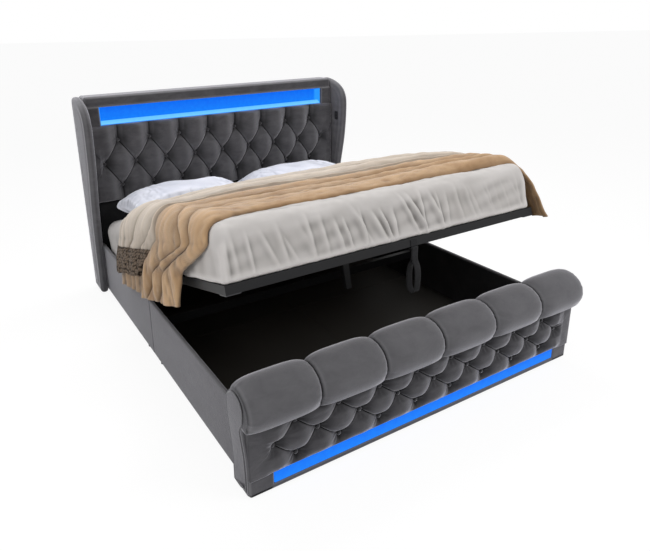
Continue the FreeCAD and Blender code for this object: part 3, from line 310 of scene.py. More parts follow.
def glowFinish(name, bright, dim, rise, ends=None):
    # lit from its lower edge: brightest at the strip, a little mottled, paler at the end walls
    material, tree, shader = newFinish(name, roughness=0.6, specular=0.1)
    shader.inputs["Base Color"].default_value = (0.002, 0.008, 0.03, 1)
    spot = spotAt(tree)
    parts = addNode(tree, "ShaderNodeSeparateXYZ", Vector=spot).outputs
    step = rise[1] - rise[0]
    mottled = mathNode(tree, "MULTIPLY_ADD", noiseAt(tree, spot, 34, 5, 0.7), step * 1.25, parts["Z"])
    tint = blendTints(tree, mottled, bright, dim, (rise[0] + step * 0.35, rise[1] + step * 0.60))
    if ends:
        tint = blendTints(tree, mathNode(tree, "ABSOLUTE", parts["X"]), tint, ends[0], ends[1:])
    tree.links.new(tint, shader.inputs["Emission Color"])
    shader.inputs["Emission Strength"].default_value = 1.0
    return material


def metalFinish(name, tint, roughness, metallic=1.0, grain=0.0, grainScale=300.0, specular=0.5):
    material, tree, shader = newFinish(name, roughness=roughness, metallic=metallic, specular=specular)
    low = tuple(value * 0.82 for value in tint)
    body = blendTints(tree, noiseAt(tree, spotAt(tree), 11, 4, 0.6), low, tint)
    tree.links.new(body, shader.inputs["Base Color"])
    if grain:
        addBump(tree, shader, noiseAt(tree, spotAt(tree), grainScale, 3, 0.6), grain, 0.0006)
    return material


def woodFinish(name, low, high, along):
    material, tree, shader = newFinish(name, roughness=0.42, specular=0.4)
    spot = spotAt(tree, scale=along)
    wander = addNode(tree, "ShaderNodeTexWave", {"wave_type": "BANDS", "bands_direction": "Y"},
                     Vector=spot, Scale=6.0, Distortion=7.0, Detail=3.0, Detail_Scale=1.4)
    body = blendTints(tree, wander.outputs["Fac"], low, high, (0.1, 0.9))
    pores = noiseAt(tree, spotAt(tree, scale=tuple(value * 22 for value in along)), 14, 4, 0.7)
    tree.links.new(blendTints(tree, pores, tuple(value * 0.8 for value in low), body, (0.28, 0.5)),
                   shader.inputs["Base Color"])
    addBump(tree, shader, pores, 0.15, 0.0006)
    return material


def chipFinish(name, low, high, roughness=0.8, size=160.0):
    material, tree, shader = newFinish(name, roughness=roughness, specular=0.25)
    chips = addNode(tree, "ShaderNodeTexVoronoi", {"feature": "F1"}, Vector=spotAt(tree), Scale=size)
    tree.links.new(blendTints(tree, chips.outputs["Distance"], low, high, (0.1, 0.8)),
                   shader.inputs["Base Color"])
    addBump(tree, shader, chips.outputs["Distance"], 0.2, 0.0008)
    return material


print("stage: finishes")
velvetCloth = velvetFinish()
liningCloth = clothFinish("blackLining", (0.012, 0.012, 0.013), (0.022, 0.022, 0.024), 900, 0.25,
                          sheen=0.1, source="Object")
sheetCotton = clothFinish("sheetCotton", (0.47, 0.445, 0.425), (0.57, 0.545, 0.53), 1400, 0.06,
                          sheen=0.12, patch=4.0, folds=0.12, shadow=0.5)
pillowCotton = clothFinish("pillowCotton", (0.60, 0.62, 0.70), (0.72, 0.73, 0.80), 1400, 0.06,
                           sheen=0.15, patch=6.0, folds=0.16, shadow=0.6)
creamCloth = clothFinish("creamBrushedCotton", (0.52, 0.43, 0.345), (0.66, 0.57, 0.475), 520, 0.22,
                         sheen=0.35, patch=10.0, fuzz=0.16, shadow=0.30)
tanCloth = clothFinish("tanWool", (0.39, 0.230, 0.115), (0.57, 0.375, 0.21), 420, 0.28,
                       sheen=0.35, patch=9.0, fuzz=0.2, shadow=0.22)
knitCloth = knitFinish()
webbingCloth = clothFinish("blackWebbing", (0.010, 0.010, 0.011), (0.020, 0.020, 0.022), 700, 0.5,
                           sheen=0.1, source="Object", turn=0.785)
blueGlow = glowFinish("blueLight", (0.008, 0.25, 1.0), (0.004, 0.15, 0.90), (0.03, 0.12))
nicheGlow = glowFinish("litNiche", (0.006, 0.25, 1.0), (0.003, 0.14, 0.88), (1.15, 1.27),
                       ((0.03, 0.36, 1.0), 0.830, 0.852))
paleGlow = glowFinish("paleLight", (0.22, 0.66, 1.0), (0.13, 0.54, 1.0), (1.15, 1.18))
blackPaint = metalFinish("blackPowderCoat", (0.0075, 0.0075, 0.0085), 0.46, 0.0, 0.35, 900,
                         specular=0.24)
darkSteel = metalFinish("blackedSteel", (0.05, 0.05, 0.054), 0.34, 0.6, 0.2, 240)
chrome = metalFinish("polishedRod", (0.86, 0.87, 0.89), 0.07, 1.0)
strutPaint = metalFinish("satinBlack", (0.012, 0.012, 0.013), 0.3, 0.0, 0.1, 700)
aluminium = metalFinish("castCase", (0.62, 0.63, 0.65), 0.35, 1.0, 0.3, 500)
beech = woodFinish("lacqueredBeech", (0.46, 0.29, 0.15), (0.66, 0.46, 0.27), (1.0, 14.0, 14.0))
chipboard = chipFinish("chipboard", (0.36, 0.25, 0.14), (0.52, 0.39, 0.24))
bayBoard = chipFinish("blackLaminate", (0.020, 0.018, 0.016), (0.030, 0.028, 0.025), 0.5, 700)
rubber = chipFinish("bumperRubber", (0.012, 0.012, 0.012), (0.02, 0.02, 0.02), 0.85, 500)
plastic = chipFinish("blackMoulding", (0.015, 0.015, 0.016), (0.024, 0.024, 0.026), 0.45, 600)


# mesh helpers

def makeMesh(name, points, faces, material, mend=True, uv=None, rim=None, deep=None):
    mesh = bpy.data.meshes.new(name)
    mesh.from_pydata([tuple(map(float, point)) for point in points], [],
                     [tuple(int(corner) for corner in face) for face in faces])
    if uv is not None:
        layer = mesh.uv_layers.new(name="cloth")
        corners = np.zeros(len(mesh.loops), dtype=np.int64)
        mesh.loops.foreach_get("vertex_index", corners)
        layer.data.foreach_set("uv", np.asarray(uv, dtype=np.float32)[corners].ravel())
    # two marks for the finishes: painted highlight and painted shade
    for label, amount in (("rim", rim), ("deep", deep)):
        if amount is not None:
            mark = mesh.attributes.new(label, "FLOAT", "POINT")
            amount = np.clip(np.asarray(amount, dtype=np.float32).ravel(), 0, 1)
            mark.data.foreach_set("value", amount)
    mesh.materials.append(material)
    piece = bpy.data.objects.new(name, mesh)
    bpy.context.collection.objects.link(piece)
    if mend:
        mendMesh(piece)
    smoothFaces(mesh)
    return piece


def smoothFaces(mesh):
    mesh.polygons.foreach_set("use_smooth", [True] * len(mesh.polygons))


def readVectors(items, key):
    values = np.empty(len(items) * 3)
    items.foreach_get(key, values)
    return values.reshape(-1, 3)


def mendMesh(piece):
    work = bmesh.new()
    work.from_mesh(piece.data)
    bmesh.ops.remove_doubles(work, verts=work.verts, dist=1e-5)
    bmesh.ops.recalc_face_normals(work, faces=work.faces)
    work.to_mesh(piece.data)
    work.free()


def applyModifiers(piece):
    evaluated = piece.evaluated_get(bpy.context.evaluated_depsgraph_get())
    mesh = bpy.data.meshes.new_from_object(evaluated)
    piece.modifiers.clear()
    old = piece.data
    piece.data = mesh
    bpy.data.meshes.remove(old)


def shadeFolds(piece, passes, depth, painted=None):
    # paints highlight on crests and shade in hollows, found by comparing each point with its evened
    # surroundings
    mesh = piece.data
    count = len(mesh.vertices)
    spots, normals = (readVectors(mesh.vertices, key) for key in ("co", "normal"))
    ends = np.empty(len(mesh.edges) * 2, dtype=np.int32)
    mesh.edges.foreach_get("vertices", ends)
    first, second = ends.reshape(-1, 2).T
    links = np.bincount(ends, minlength=count)[:, None]
    even = spots
    for _ in range(passes):
        total = [np.bincount(first, even[second, k], count) + np.bincount(second, even[first, k], count)
                 for k in range(3)]
        even = np.stack(total, -1) / links
    proud = np.sum((spots - even) * normals, 1) / depth
    # painted adds a given amount of painted shade to each point
    hollow = -proud if painted is None else np.maximum(-proud, np.ravel(painted))
    for label, amount in (("rim", proud), ("deep", hollow)):
        mark = mesh.attributes.get(label) or mesh.attributes.new(label, "FLOAT", "POINT")
        mark.data.foreach_set("value", np.clip(amount, 0, 1).astype(np.float32))


def gridFaces(rows, columns, closeRows=False, closeColumns=False, start=0):
    i = np.arange(rows if closeRows else rows - 1)
    j = np.arange(columns if closeColumns else columns - 1)
    ii, jj = np.meshgrid(i, j, indexing="ij")
    ni, nj = (ii + 1) % rows, (jj + 1) % columns
    quads = np.stack([ii * columns + jj, ii * columns + nj, ni * columns + nj, ni * columns + jj], -1)
    return quads.reshape(-1, 4) + start


def tubeMesh(name, rings, material, rim=None, deep=None):
    # rings of the same count of points, closed round and capped at both ends
    rings = np.asarray(rings, dtype=float)
    count, around = rings.shape[:2]
    faces = [tuple(face) for face in gridFaces(count, around, False, True)]
    faces.append(tuple(range(around)))
    faces.append(tuple((count - 1) * around + i for i in range(around)))
    return makeMesh(name, rings.reshape(-1, 3), faces, material, rim=rim, deep=deep)


def roundLine(points, radius, closed=False, sides=10):
    # rings of a tube that follows points
    points = np.asarray(points, dtype=float)
    if closed:
        ahead = np.roll(points, -1, 0) - np.roll(points, 1, 0)
    else:
        ahead = np.gradient(points, axis=0)
    ahead /= np.linalg.norm(ahead, axis=1)[:, None]
    normal = np.cross(ahead[0], (0.13, 0.7, 0.7))
    rings = []
    for spot, way in zip(points, ahead):
        normal = normal - way * np.dot(normal, way)
        normal /= np.linalg.norm(normal)
        other = np.cross(way, normal)
        turns = np.linspace(0, 2 * np.pi, sides, endpoint=False)
        rings.append([spot + radius * (np.cos(a) * normal + np.sin(a) * other) for a in turns])
    return np.array(rings)


def weltPiece(name, points, radius, material, closed=False, sides=8, shading=False):
    rings = roundLine(points, radius, closed, sides)
    count = len(rings) * sides
    # a plain welt gets painted highlight; the dark kind is a thin tube of painted shade
    marks = {"rim": np.zeros(count), "deep": np.ones(count)} if shading else {"rim": np.full(count, 0.55)}
    if closed:
        faces = gridFaces(len(rings), sides, True, True)
        return makeMesh(name, rings.reshape(-1, 3), faces, material, **marks)
    return tubeMesh(name, rings, material, **marks)


def ease(value, low, high):
    t = np.clip((np.asarray(value, float) - low) / (high - low), 0, 1)
    return t * t * (3 - 2 * t)


def resample(points, count, closed=False):
    points = np.asarray(points, dtype=float)
    if closed:
        points = np.vstack([points, points[:1]])
    steps = np.linalg.norm(np.diff(points, axis=0), axis=1)
    walked = np.concatenate([[0], np.cumsum(steps)])
    targets = np.linspace(0, walked[-1], count, endpoint=not closed)
    return np.stack([np.interp(targets, walked, points[:, k]) for k in range(points.shape[1])], -1)


def smoothCurve(points, count, closed=False):
    # Catmull-Rom through points, then evenly spaced
    points = np.asarray(points, dtype=float)
    if closed:
        padded = np.vstack([points[-1:], points, points[:2]])
    else:
        padded = np.vstack([2 * points[0] - points[1], points, 2 * points[-1] - points[-2]])
    fine = []
    for k in range(1, len(padded) - 2):
        p0, p1, p2, p3 = padded[k - 1:k + 3]
        t = np.linspace(0, 1, 12, endpoint=False)[:, None]
        fine.append(0.5 * (2 * p1 + (p2 - p0) * t + (2 * p0 - 5 * p1 + 4 * p2 - p3) * t ** 2
                           + (3 * p1 - p0 - 3 * p2 + p3) * t ** 3))
    fine = np.vstack(fine if closed else fine + [padded[-2:-1]])
    return resample(fine, count, closed)


def roundedSlab(name, low, high, radius, material, spacing=0.02, crown=(0, 0, 0), rim=0.5):
    # box with rounded edges; crown swells its three pairs of faces outwards
    low, high = np.asarray(low, float), np.asarray(high, float)
    size = high - low
    radius = min(radius, size.min() * 0.49)
    points, faces = [], []
    counts = [max(2, int(math.ceil(extent / spacing))) + 1 for extent in size]
    marks = []
    for k in range(3):
        span = np.linspace(low[k], high[k], counts[k])
        near = radius * np.array([0.0, 0.12, 0.3, 0.55, 0.8, 1.0])
        inner = span[(span > low[k] + radius * 1.05) & (span < high[k] - radius * 1.05)]
        marks.append(np.concatenate([low[k] + near, inner, high[k] - near[::-1]]))
    for axis in range(3):
        a, b = [k for k in range(3) if k != axis]
        for side in (0, 1):
            ga, gb = np.meshgrid(marks[a], marks[b], indexing="ij")
            patch = np.zeros((*ga.shape, 3))
            patch[..., a], patch[..., b] = ga, gb
            patch[..., axis] = high[axis] if side else low[axis]
            faces.append(gridFaces(*ga.shape, start=sum(len(item) for item in points)))
            points.append(patch.reshape(-1, 3))
    points = np.vstack(points)
    core = np.clip(points, low + radius, high - radius)
    away = points - core
    reach = np.linalg.norm(away, axis=1)
    reach[reach == 0] = 1
    normal = away / reach[:, None]
    centre = (low + high) / 2
    half = np.maximum(size / 2, 1e-6)
    placed = core + normal * radius
    share = (placed - centre) / half
    for axis in range(3):
        if crown[axis]:
            a, b = [k for k in range(3) if k != axis]
            fade = (1 - share[:, a] ** 4) * (1 - share[:, b] ** 4)
            placed[:, axis] += np.sign(share[:, axis]) * crown[axis] * fade * (
                np.abs(share[:, axis]) > 0.98)
    # painted highlight along the rounded edges
    bend = np.sort(np.abs(normal), axis=1)[:, 1]
    return makeMesh(name, placed, np.vstack(faces), material, rim=rim * np.clip(bend * 1.6, 0, 1))


def dress(piece, body, nodes):
    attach(piece, body)
    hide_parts(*nodes)


def joinPieces(pieces, name):
    for item in bpy.context.selected_objects:
        item.select_set(False)
    for item in pieces:
        item.select_set(True)
    bpy.context.view_layer.objects.active = pieces[0]
    if len(pieces) > 1:
        bpy.ops.object.join()
    whole = bpy.context.view_layer.objects.active
    whole.name = name
    whole.data.name = name
    return whole


# node trees, and the pieces made by them

def newTree(name, **inputs):
    # inputs: the names of the values that can be set, by their kind
    tree = bpy.data.node_groups.new(name, "GeometryNodeTree")
    face = tree.interface
    face.new_socket("Geometry", in_out="INPUT", socket_type="NodeSocketGeometry")
    for kind, labels in inputs.items():
        for label in labels:
            face.new_socket(label, in_out="INPUT", socket_type="NodeSocket" + kind)
    face.new_socket("Geometry", in_out="OUTPUT", socket_type="NodeSocketGeometry")
    return tree, tree.nodes.new("NodeGroupInput").outputs


def finishTree(tree, geometry, finish):
    painted = addNode(tree, "GeometryNodeSetMaterial", Geometry=geometry, Material=finish)
    result = tree.nodes.new("NodeGroupOutput")
    tree.links.new(painted.outputs["Geometry"], result.inputs[0])
    return tree


def runTree(name, tree, values):
    # a new piece: what the tree makes of these values
    holder = bpy.data.objects.new(name + "Holder", bpy.data.meshes.new(name + "Holder"))
    bpy.context.collection.objects.link(holder)
    modifier = holder.modifiers.new("tree", "NODES")
    modifier.node_group = tree
    for item in tree.interface.items_tree:
        if item.in_out == "INPUT" and item.name in values:
            modifier[item.identifier] = values[item.name]
    holder.update_tag()
    bpy.context.view_layer.update()
    evaluated = holder.evaluated_get(bpy.context.evaluated_depsgraph_get())
    mesh = bpy.data.meshes.new_from_object(evaluated)
    mesh.name = name
    holder.modifiers.clear()
    bpy.data.objects.remove(holder)
    piece = bpy.data.objects.new(name, mesh)
    bpy.context.collection.objects.link(piece)
    smoothFaces(mesh)
    return piece


# rows of equal pieces

def buildRowTree():
    tree, given = newTree("rowOfPieces", Object=["Piece"], Int=["Count"], Vector=["Start", "Step"],
                          Material=["Finish"])
    line = addNode(tree, "GeometryNodeMeshLine", Count=given["Count"], Start_Location=given["Start"],
                   Offset=given["Step"])
    source = addNode(tree, "GeometryNodeObjectInfo", Object=given["Piece"])
    spots = addNode(tree, "GeometryNodeInstanceOnPoints", Points=line.outputs["Mesh"],
                    Instance=source.outputs["Geometry"])
    real = addNode(tree, "GeometryNodeRealizeInstances", Geometry=spots.outputs["Instances"])
    merged = addNode(tree, "GeometryNodeMergeByDistance", Geometry=real.outputs["Geometry"],
                     Distance=0.00002)
    return finishTree(tree, merged.outputs["Geometry"], given["Finish"])


rowTree = buildRowTree()


def layRows(name, source, rows, material):
    # rows: count, place of the first piece and step to the next
    parts = [runTree(name + str(i), rowTree, {"Piece": source, "Count": count, "Start": start,
                                              "Step": step, "Finish": material})
             for i, (count, start, step) in enumerate(rows)]
    whole = joinPieces(parts, name)
    bpy.data.objects.remove(source)
    return whole


# deep-buttoned pads: diamonds, pleats and dimples from one rule

class Rule:
    # a value inside a node tree that can be written as plain arithmetic
    def __init__(self, tree, socket):
        self.tree, self.socket = tree, socket

    def calc(self, kind, *others):
        values = [item.socket if isinstance(item, Rule) else item for item in (self, *others)]
        return Rule(self.tree, mathNode(self.tree, kind, *values))

    def __neg__(self):
        return self * -1.0

    def fall(self):
        # e to the minus value
        return (-self).calc("EXPONENT")

    def bell(self, place, wide):
        # a hump of this width at this place
        away = (self - place) / wide
        return (away * away).fall()

    def flipped(self):
        # one minus the value
        return self * -1.0 + 1.0

    def within(self):
        # kept between nothing and one
        return self.most(0.0).least(1.0)


ruleKinds = {
    "__add__": "ADD", "__sub__": "SUBTRACT", "__mul__": "MULTIPLY", "__truediv__": "DIVIDE",
    "least": "MINIMUM", "most": "MAXIMUM", "power": "POWER", "sine": "SINE", "size": "ABSOLUTE",
    "rounded": "ROUND", "part": "FRACT",
}
for name, kind in ruleKinds.items():
    setattr(Rule, name, partialmethod(Rule.calc, kind))


padInputs = {
    "Half width": "half", "Low": "low", "High": "high", "Pitch": "pitch", "Row gap": "rowGap",
    "Low row": "lowRow", "Crest": "crest", "Relief": "relief", "Edge roll": "roll", "Lip": "lip",
    "Settled ends": "settled", "Edge curve": "curve",
}
diamonds = {
    "fullness": 0.43, "sag": 0.20,      # each diamond hangs a little low
    "pleatShare": 0.66, "dimpleShare": 0.34, "dimpleArea": 0.0019,
    "lastRow": 2.0, "sideSteps": 4.0, "plainRun": 0.035, "dimpleRun": 0.03,     # beyond the last buttons
    "gathers": 9.0, "gatherRing": (0.029, 0.014), "gatherDepth": 0.0017,
    "unevenScale": 11.0, "uneven": 0.009,
    "lipSlope": 0.55, "settledStart": 0.01, "settledRun": 0.06, "settledDrop": 0.006,
    # of each painted highlight and painted shade: place and width, then its strength
    "band": (0.42, 0.07), "bandHighlight": 0.16, "right": (0.78, 0.13), "rightHighlight": 0.52,
    "pleat": (0.0, 0.15), "pleatShade": 0.9, "left": (0.14, 0.13), "leftShade": 0.35,
    "dimpleShade": 0.6,
}


def buildPadTree():
    sizes = diamonds
    tree, given = newTree("buttonedPad", Float=[*padInputs, "Step across", "Step up", "Rows below"],
                          Int=["Columns", "Rows"], Material=["Finish"])

    def take(name):
        return Rule(tree, given[name])

    across = take("Step across") * (take("Columns") - 1.0)
    up = take("Step up") * (take("Rows") - 1.0)
    grid = addNode(tree, "GeometryNodeMeshGrid", Vertices_X=given["Columns"], Vertices_Y=given["Rows"],
                   Size_X=across.socket, Size_Y=up.socket)
    spot = addNode(tree, "ShaderNodeSeparateXYZ",
                   Vector=addNode(tree, "GeometryNodeInputPosition").outputs[0]).outputs
    x = Rule(tree, spot["X"])
    z = Rule(tree, spot["Y"]) + up * 0.5 + take("Low row") - take("Rows below") * take("Step up")
    x = x.least(take("Half width")).most(-take("Half width"))
    z = z.least(take("High")).most(take("Low"))

    u = x / take("Pitch") + 0.5
    v = ((z - take("Low row")) / take("Row gap")).most(0.0).least(sizes["lastRow"])
    a = u + v * 0.5
    b = u - v * 0.5
    foldA = (a * math.pi).sine().size()
    foldB = (b * math.pi).sine().size()
    full = (foldA * foldB).power(sizes["fullness"])
    # outside the last buttons the cloth is plain
    beyond = x.size() - take("Pitch") * sizes["sideSteps"]
    plain = (beyond / sizes["plainRun"]).within()
    full = full + full.flipped() * plain
    sag = (a.part() - b.part()) * -sizes["sag"] + 1.0
    row = v.rounded()
    column = u - row * 0.5
    aside = (column - column.rounded()) * take("Pitch")
    above = z - take("Low row") - row * take("Row gap")
    away = (aside * aside + above * above).power(0.5)
    outside = ((beyond - sizes["dimpleRun"]) / sizes["dimpleRun"]).within()
    dimple = (away * away / sizes["dimpleArea"]).fall() * outside.flipped()
    angle = above.calc("ARCTAN2", aside)
    ring = away.bell(*sizes["gatherRing"])
    gathers = (angle * sizes["gathers"]).calc("COSINE") * ring * sizes["gatherDepth"]

    coords = addNode(tree, "ShaderNodeCombineXYZ", X=x.socket, Z=z.socket)
    cloud = addNode(tree, "ShaderNodeTexNoise", Vector=coords.outputs[0],
                    Scale=sizes["unevenScale"], Detail=2.0)
    uneven = (Rule(tree, cloud.outputs["Fac"]) - 0.5) * sizes["uneven"]

    edge = (take("Half width") - x.size()).least(z - take("Low")).least(take("High") - z)
    short = (edge / take("Edge roll")).least(1.0).flipped()
    arch = (short * short).flipped().most(0.0).power(take("Edge curve"))
    rest = (full * sag).flipped() * sizes["pleatShare"] + dimple * sizes["dimpleShare"]
    surface = take("Crest") + take("Relief") * rest + gathers + uneven * full
    y = surface * arch + take("Lip") * arch.flipped()
    y = y.least(take("Lip") + edge * sizes["lipSlope"])
    settled = ((beyond + sizes["settledStart"]) / sizes["settledRun"]).within() * take("Settled ends")
    y = y * settled.flipped() + (take("Lip") - sizes["settledDrop"]) * settled

    moved = addNode(tree, "ShaderNodeCombineXYZ", X=x.socket, Y=y.socket, Z=z.socket)

    # the flat grid is split along the fold that runs through each face
    along = foldA.calc("LESS_THAN", foldB)
    split = addNode(tree, "GeometryNodeTriangulate", {"quad_method": "FIXED_ALTERNATE"},
                    Mesh=grid.outputs["Mesh"], Selection=along.socket)
    flat = addNode(tree, "GeometryNodeTriangulate", {"quad_method": "FIXED"},
                   Mesh=split.outputs["Mesh"]).outputs["Mesh"]
    paintedLight = (a.part() + b.part()) * 0.5      # how far across the diamond toward its lit right corner: painted highlight right, painted shade left
    inner = plain.flipped()
    # painted highlight beside the seams and on each diamond's lit right side; painted shade in the
    # pleats, the dimples and on each diamond's left side
    rim = full.bell(*sizes["band"]) * sizes["bandHighlight"]
    rim = (rim + paintedLight.bell(*sizes["right"]) * full * sizes["rightHighlight"]) * arch * inner
    deep = full.bell(*sizes["pleat"]) * sizes["pleatShade"] + dimple * sizes["dimpleShade"]
    deep = (deep + paintedLight.bell(*sizes["left"]) * inner * sizes["leftShade"]) * arch
    for label, amount in (("rim", rim), ("deep", deep)):
        flat = addNode(tree, "GeometryNodeStoreNamedAttribute", {"data_type": "FLOAT"}, Geometry=flat,
                       Name=label, Value=amount.socket).outputs["Geometry"]
    shaped = addNode(tree, "GeometryNodeSetPosition", Geometry=flat, Position=moved.outputs[0])
    real = addNode(tree, "GeometryNodeRealizeInstances", Geometry=shaped.outputs["Geometry"])
    return finishTree(tree, real.outputs["Geometry"], given["Finish"])


padTree = buildPadTree()


def layPad(name, sizes, material):
    stepUp = sizes["rowGap"] / sizes["fineness"]
    below = math.ceil((sizes["lowRow"] - sizes["low"]) / stepUp)
    above = math.ceil((sizes["high"] - sizes["lowRow"]) / stepUp)
    stepAcross = sizes["pitch"] / 2 / sizes["fineness"]
    sideways = math.ceil(sizes["half"] / stepAcross)
    values = {label: sizes[key] for label, key in padInputs.items()}
    values.update({"Step across": stepAcross, "Step up": stepUp, "Rows below": float(below),
                   "Columns": 2 * sideways + 1, "Rows": below + above + 1, "Finish": material})
    piece = runTree(name, padTree, values)
    closeBehind(piece, sizes["back"])
    smoothFaces(piece.data)
    return piece


def closeBehind(piece, back):
    # carries the open border to the board behind and closes it there
    work = bmesh.new()
    work.from_mesh(piece.data)
    border = [edge for edge in work.edges if edge.is_boundary]
    extended = bmesh.ops.extrude_edge_only(work, edges=border)["geom"]
    for vert in extended:
        if isinstance(vert, bmesh.types.BMVert):
            vert.co.y = back
    loop = [edge for edge in work.edges if edge.is_boundary]
    bmesh.ops.contextual_create(work, geom=loop)
    bmesh.ops.recalc_face_normals(work, faces=work.faces)
    work.to_mesh(piece.data)
    work.free()


tufts = {
    "head": {"half": 0.941, "low": 0.640, "high": 1.151, "pitch": 0.214, "rowGap": 0.153,
             "lowRow": 0.740, "crest": 1.042, "relief": 0.066, "back": 1.115, "roll": 0.024,
             "lip": 1.083, "fineness": 26, "button": 1.0965, "settled": 0.0,
             "curve": 0.5},
    "foot": {"half": 0.9585, "low": 0.089, "high": 0.334, "pitch": 0.212, "rowGap": 0.0765,
             "lowRow": 0.130, "crest": -1.192, "relief": 0.046, "back": -1.135, "roll": 0.036,
             "lip": -1.169, "fineness": 20, "button": -1.1525, "settled": 0.9,
             "curve": 1.0},
    "buttonRadius": 0.0112,
    "buttonDepth": 0.0085,
    "buttonSides": 14,
    "buttonShares": ((0.0, 0.86, 1.0), (0.22, 1.0, 0.95), (0.5, 0.97, 0.85), (0.78, 0.8, 0.6),
                     (0.95, 0.5, 0.5), (1.0, 0.2, 0.5)),     # depth, radius and painted shade
    "buttonCounts": (8, 9, 8),
}


def buttonCover(back):
    # covered button: a low dome with a puckered edge, its back at the pad, dark with painted shade of
    # its recess
    turns = np.linspace(0, 2 * np.pi, tufts["buttonSides"], endpoint=False)
    rings, deep = [], []
    for rise, reach, shading in tufts["buttonShares"]:
        radius = tufts["buttonRadius"] * reach
        rings.append([(radius * math.cos(t), back - tufts["buttonDepth"] * rise,
                       radius * math.sin(t)) for t in turns])
        deep += [shading] * len(turns)
    return tubeMesh("buttonSource", rings, velvetCloth, rim=np.zeros(len(deep)), deep=deep)


def buttonRows(sizes):
    rows = []
    for i, count in enumerate(tufts["buttonCounts"]):
        start = -(count - 1) / 2 * sizes["pitch"]
        rows.append((count, (start, 0, sizes["lowRow"] + i * sizes["rowGap"]), (sizes["pitch"], 0, 0)))
    return rows


print("stage: buttoned pads")
for end, label in (("head", "headboard"), ("foot", "footboard")):
    pad = layPad(label + "Tufting", tufts[end], velvetCloth)
    dress(pad, "bed_base", [label + "_tufted_pad"])
    covers = layRows(label + "Buttons", buttonCover(tufts[end]["button"]), buttonRows(tufts[end]),
                     velvetCloth)
    dress(covers, "bed_base", [label + "_buttons"])


# boards with padded faces: wings and the footboard's scroll ends

def outwardNormals(line):
    ahead = np.roll(line, -1, 0) - np.roll(line, 1, 0)
    ahead /= np.linalg.norm(ahead, axis=1)[:, None]
    normal = np.stack([ahead[:, 1], -ahead[:, 0]], -1)
    area = np.sum(line[:, 0] * np.roll(line[:, 1], -1) - np.roll(line[:, 0], -1) * line[:, 1])
    return normal if area > 0 else -normal


# of the rings on a padded board's face and round its edge
boardRings = {
    "swell": ((0.036, 1.0), (0.028, 0.85), (0.018, 0.55), (0.010, 0.2)),     # inset and share
    "seam": ((0.005, 0.12), (0.0025, 0.0), (0.0, 0.12)),                     # inset and painted highlight
    "shoulder": (0.7, 0.35), "shoulderHighlight": 0.06,
    "turns": 7, "edgeHighlight": 0.08, "crestHighlight": 0.24, "swellStart": 0.006,
    "square": 0.98, "toe": 0.09,     # a corner's share of the inset, and the height of the toe
}


def drawIn(line, normal, inset):
    # the outline drawn in by an even width; its corners stay square and never cross
    inset = np.broadcast_to(np.asarray(inset, float), len(line))
    ring = line - normal * inset[:, None]
    margin = boardRings["square"] * inset
    ring = np.clip(ring, line.min(0) + margin[:, None], line.max(0) - margin[:, None])
    low = line[:, 1].min() + boardRings["toe"]
    toe = line[line[:, 1] < low, 0].min() + margin
    ring[:, 0] = np.where(ring[:, 1] < low, np.maximum(ring[:, 0], toe), ring[:, 0])
    return ring


def paddedBoard(name, line, inner, outer, sizes, count):
    # line is the outline seen from the side; inner and outer are the x of its two faces
    line = resample(line, count, closed=True)
    normal = outwardNormals(line)
    side = np.sign(outer - inner)
    radius, seam = sizes["round"], sizes["seam"]
    lean = side * sizes["lean"] * ease(line[:, 1], 0.10, 0.40)
    # each ring from the middle of a face to its edge: inset, height over the face and painted highlight
    near = boardRings["swellStart"]
    half = [(seam + near + (reach - near) * sizes["reach"], sizes["bulge"] * share, 0.0)
            for reach, share in boardRings["swell"]]
    half += [(seam + inset, 0, rim) for inset, rim in boardRings["seam"]]
    half += [(radius + (seam - radius) * share, 0, boardRings["shoulderHighlight"])
             for share in boardRings["shoulder"]]
    # painted highlight round the edge, strongest at its crest
    for turn in np.linspace(0, math.pi / 2, boardRings["turns"]):
        fall = 1 - math.cos(turn)
        rim = boardRings["edgeHighlight"] + boardRings["crestHighlight"] * math.sin(math.pi * fall)
        half.append((radius * (1 - math.sin(turn)), -radius * fall, rim))
    rings, paintedHighlights = [], []
    for face, toward, shift, course in ((inner, -side, 0, half), (outer, side, lean, half[::-1])):
        for inset, height, rim in course:
            x = np.full(len(line), face + toward * height) + shift
            rings.append(np.column_stack([x, drawIn(line, normal, inset)]))
            paintedHighlights.append(np.full(len(line), rim))
    return tubeMesh(name, rings, velvetCloth, rim=np.array(paintedHighlights))


wings = {
    "front": [(1.037, 0.020), (1.0348, 0.081), (1.028, 0.234), (1.0193, 0.387), (1.0030, 0.525),
              (0.980, 0.660), (0.950, 0.789), (0.9285, 0.890), (0.9125, 1.010), (0.9055, 1.110),
              (0.9075, 1.190), (0.9275, 1.241), (0.9608, 1.279), (1.0047, 1.304), (1.0528, 1.321),
              (1.1024, 1.333), (1.155, 1.339)],
    "back": [(1.198, 1.335), (1.213, 1.318), (1.2195, 1.290), (1.2195, 0.060), (1.2195, 0.012),
             (1.212, 0.0085), (1.060, 0.0085), (1.042, 0.010)],
    "inner": 0.9413, "outer": 0.9915,
    "lean": 0.0, "round": 0.0225, "bulge": 0.003, "seam": 0.040, "reach": 1.0,
}

print("stage: wings")
for side, word in bothSides:
    profile = np.vstack([smoothCurve(wings["front"], 90), np.array(wings["back"])])
    wing = paddedBoard("wing" + word.title(), profile, side * wings["inner"], side * wings["outer"],
                       wings, 260)
    dress(wing, "bed_base", ["wing_" + word])


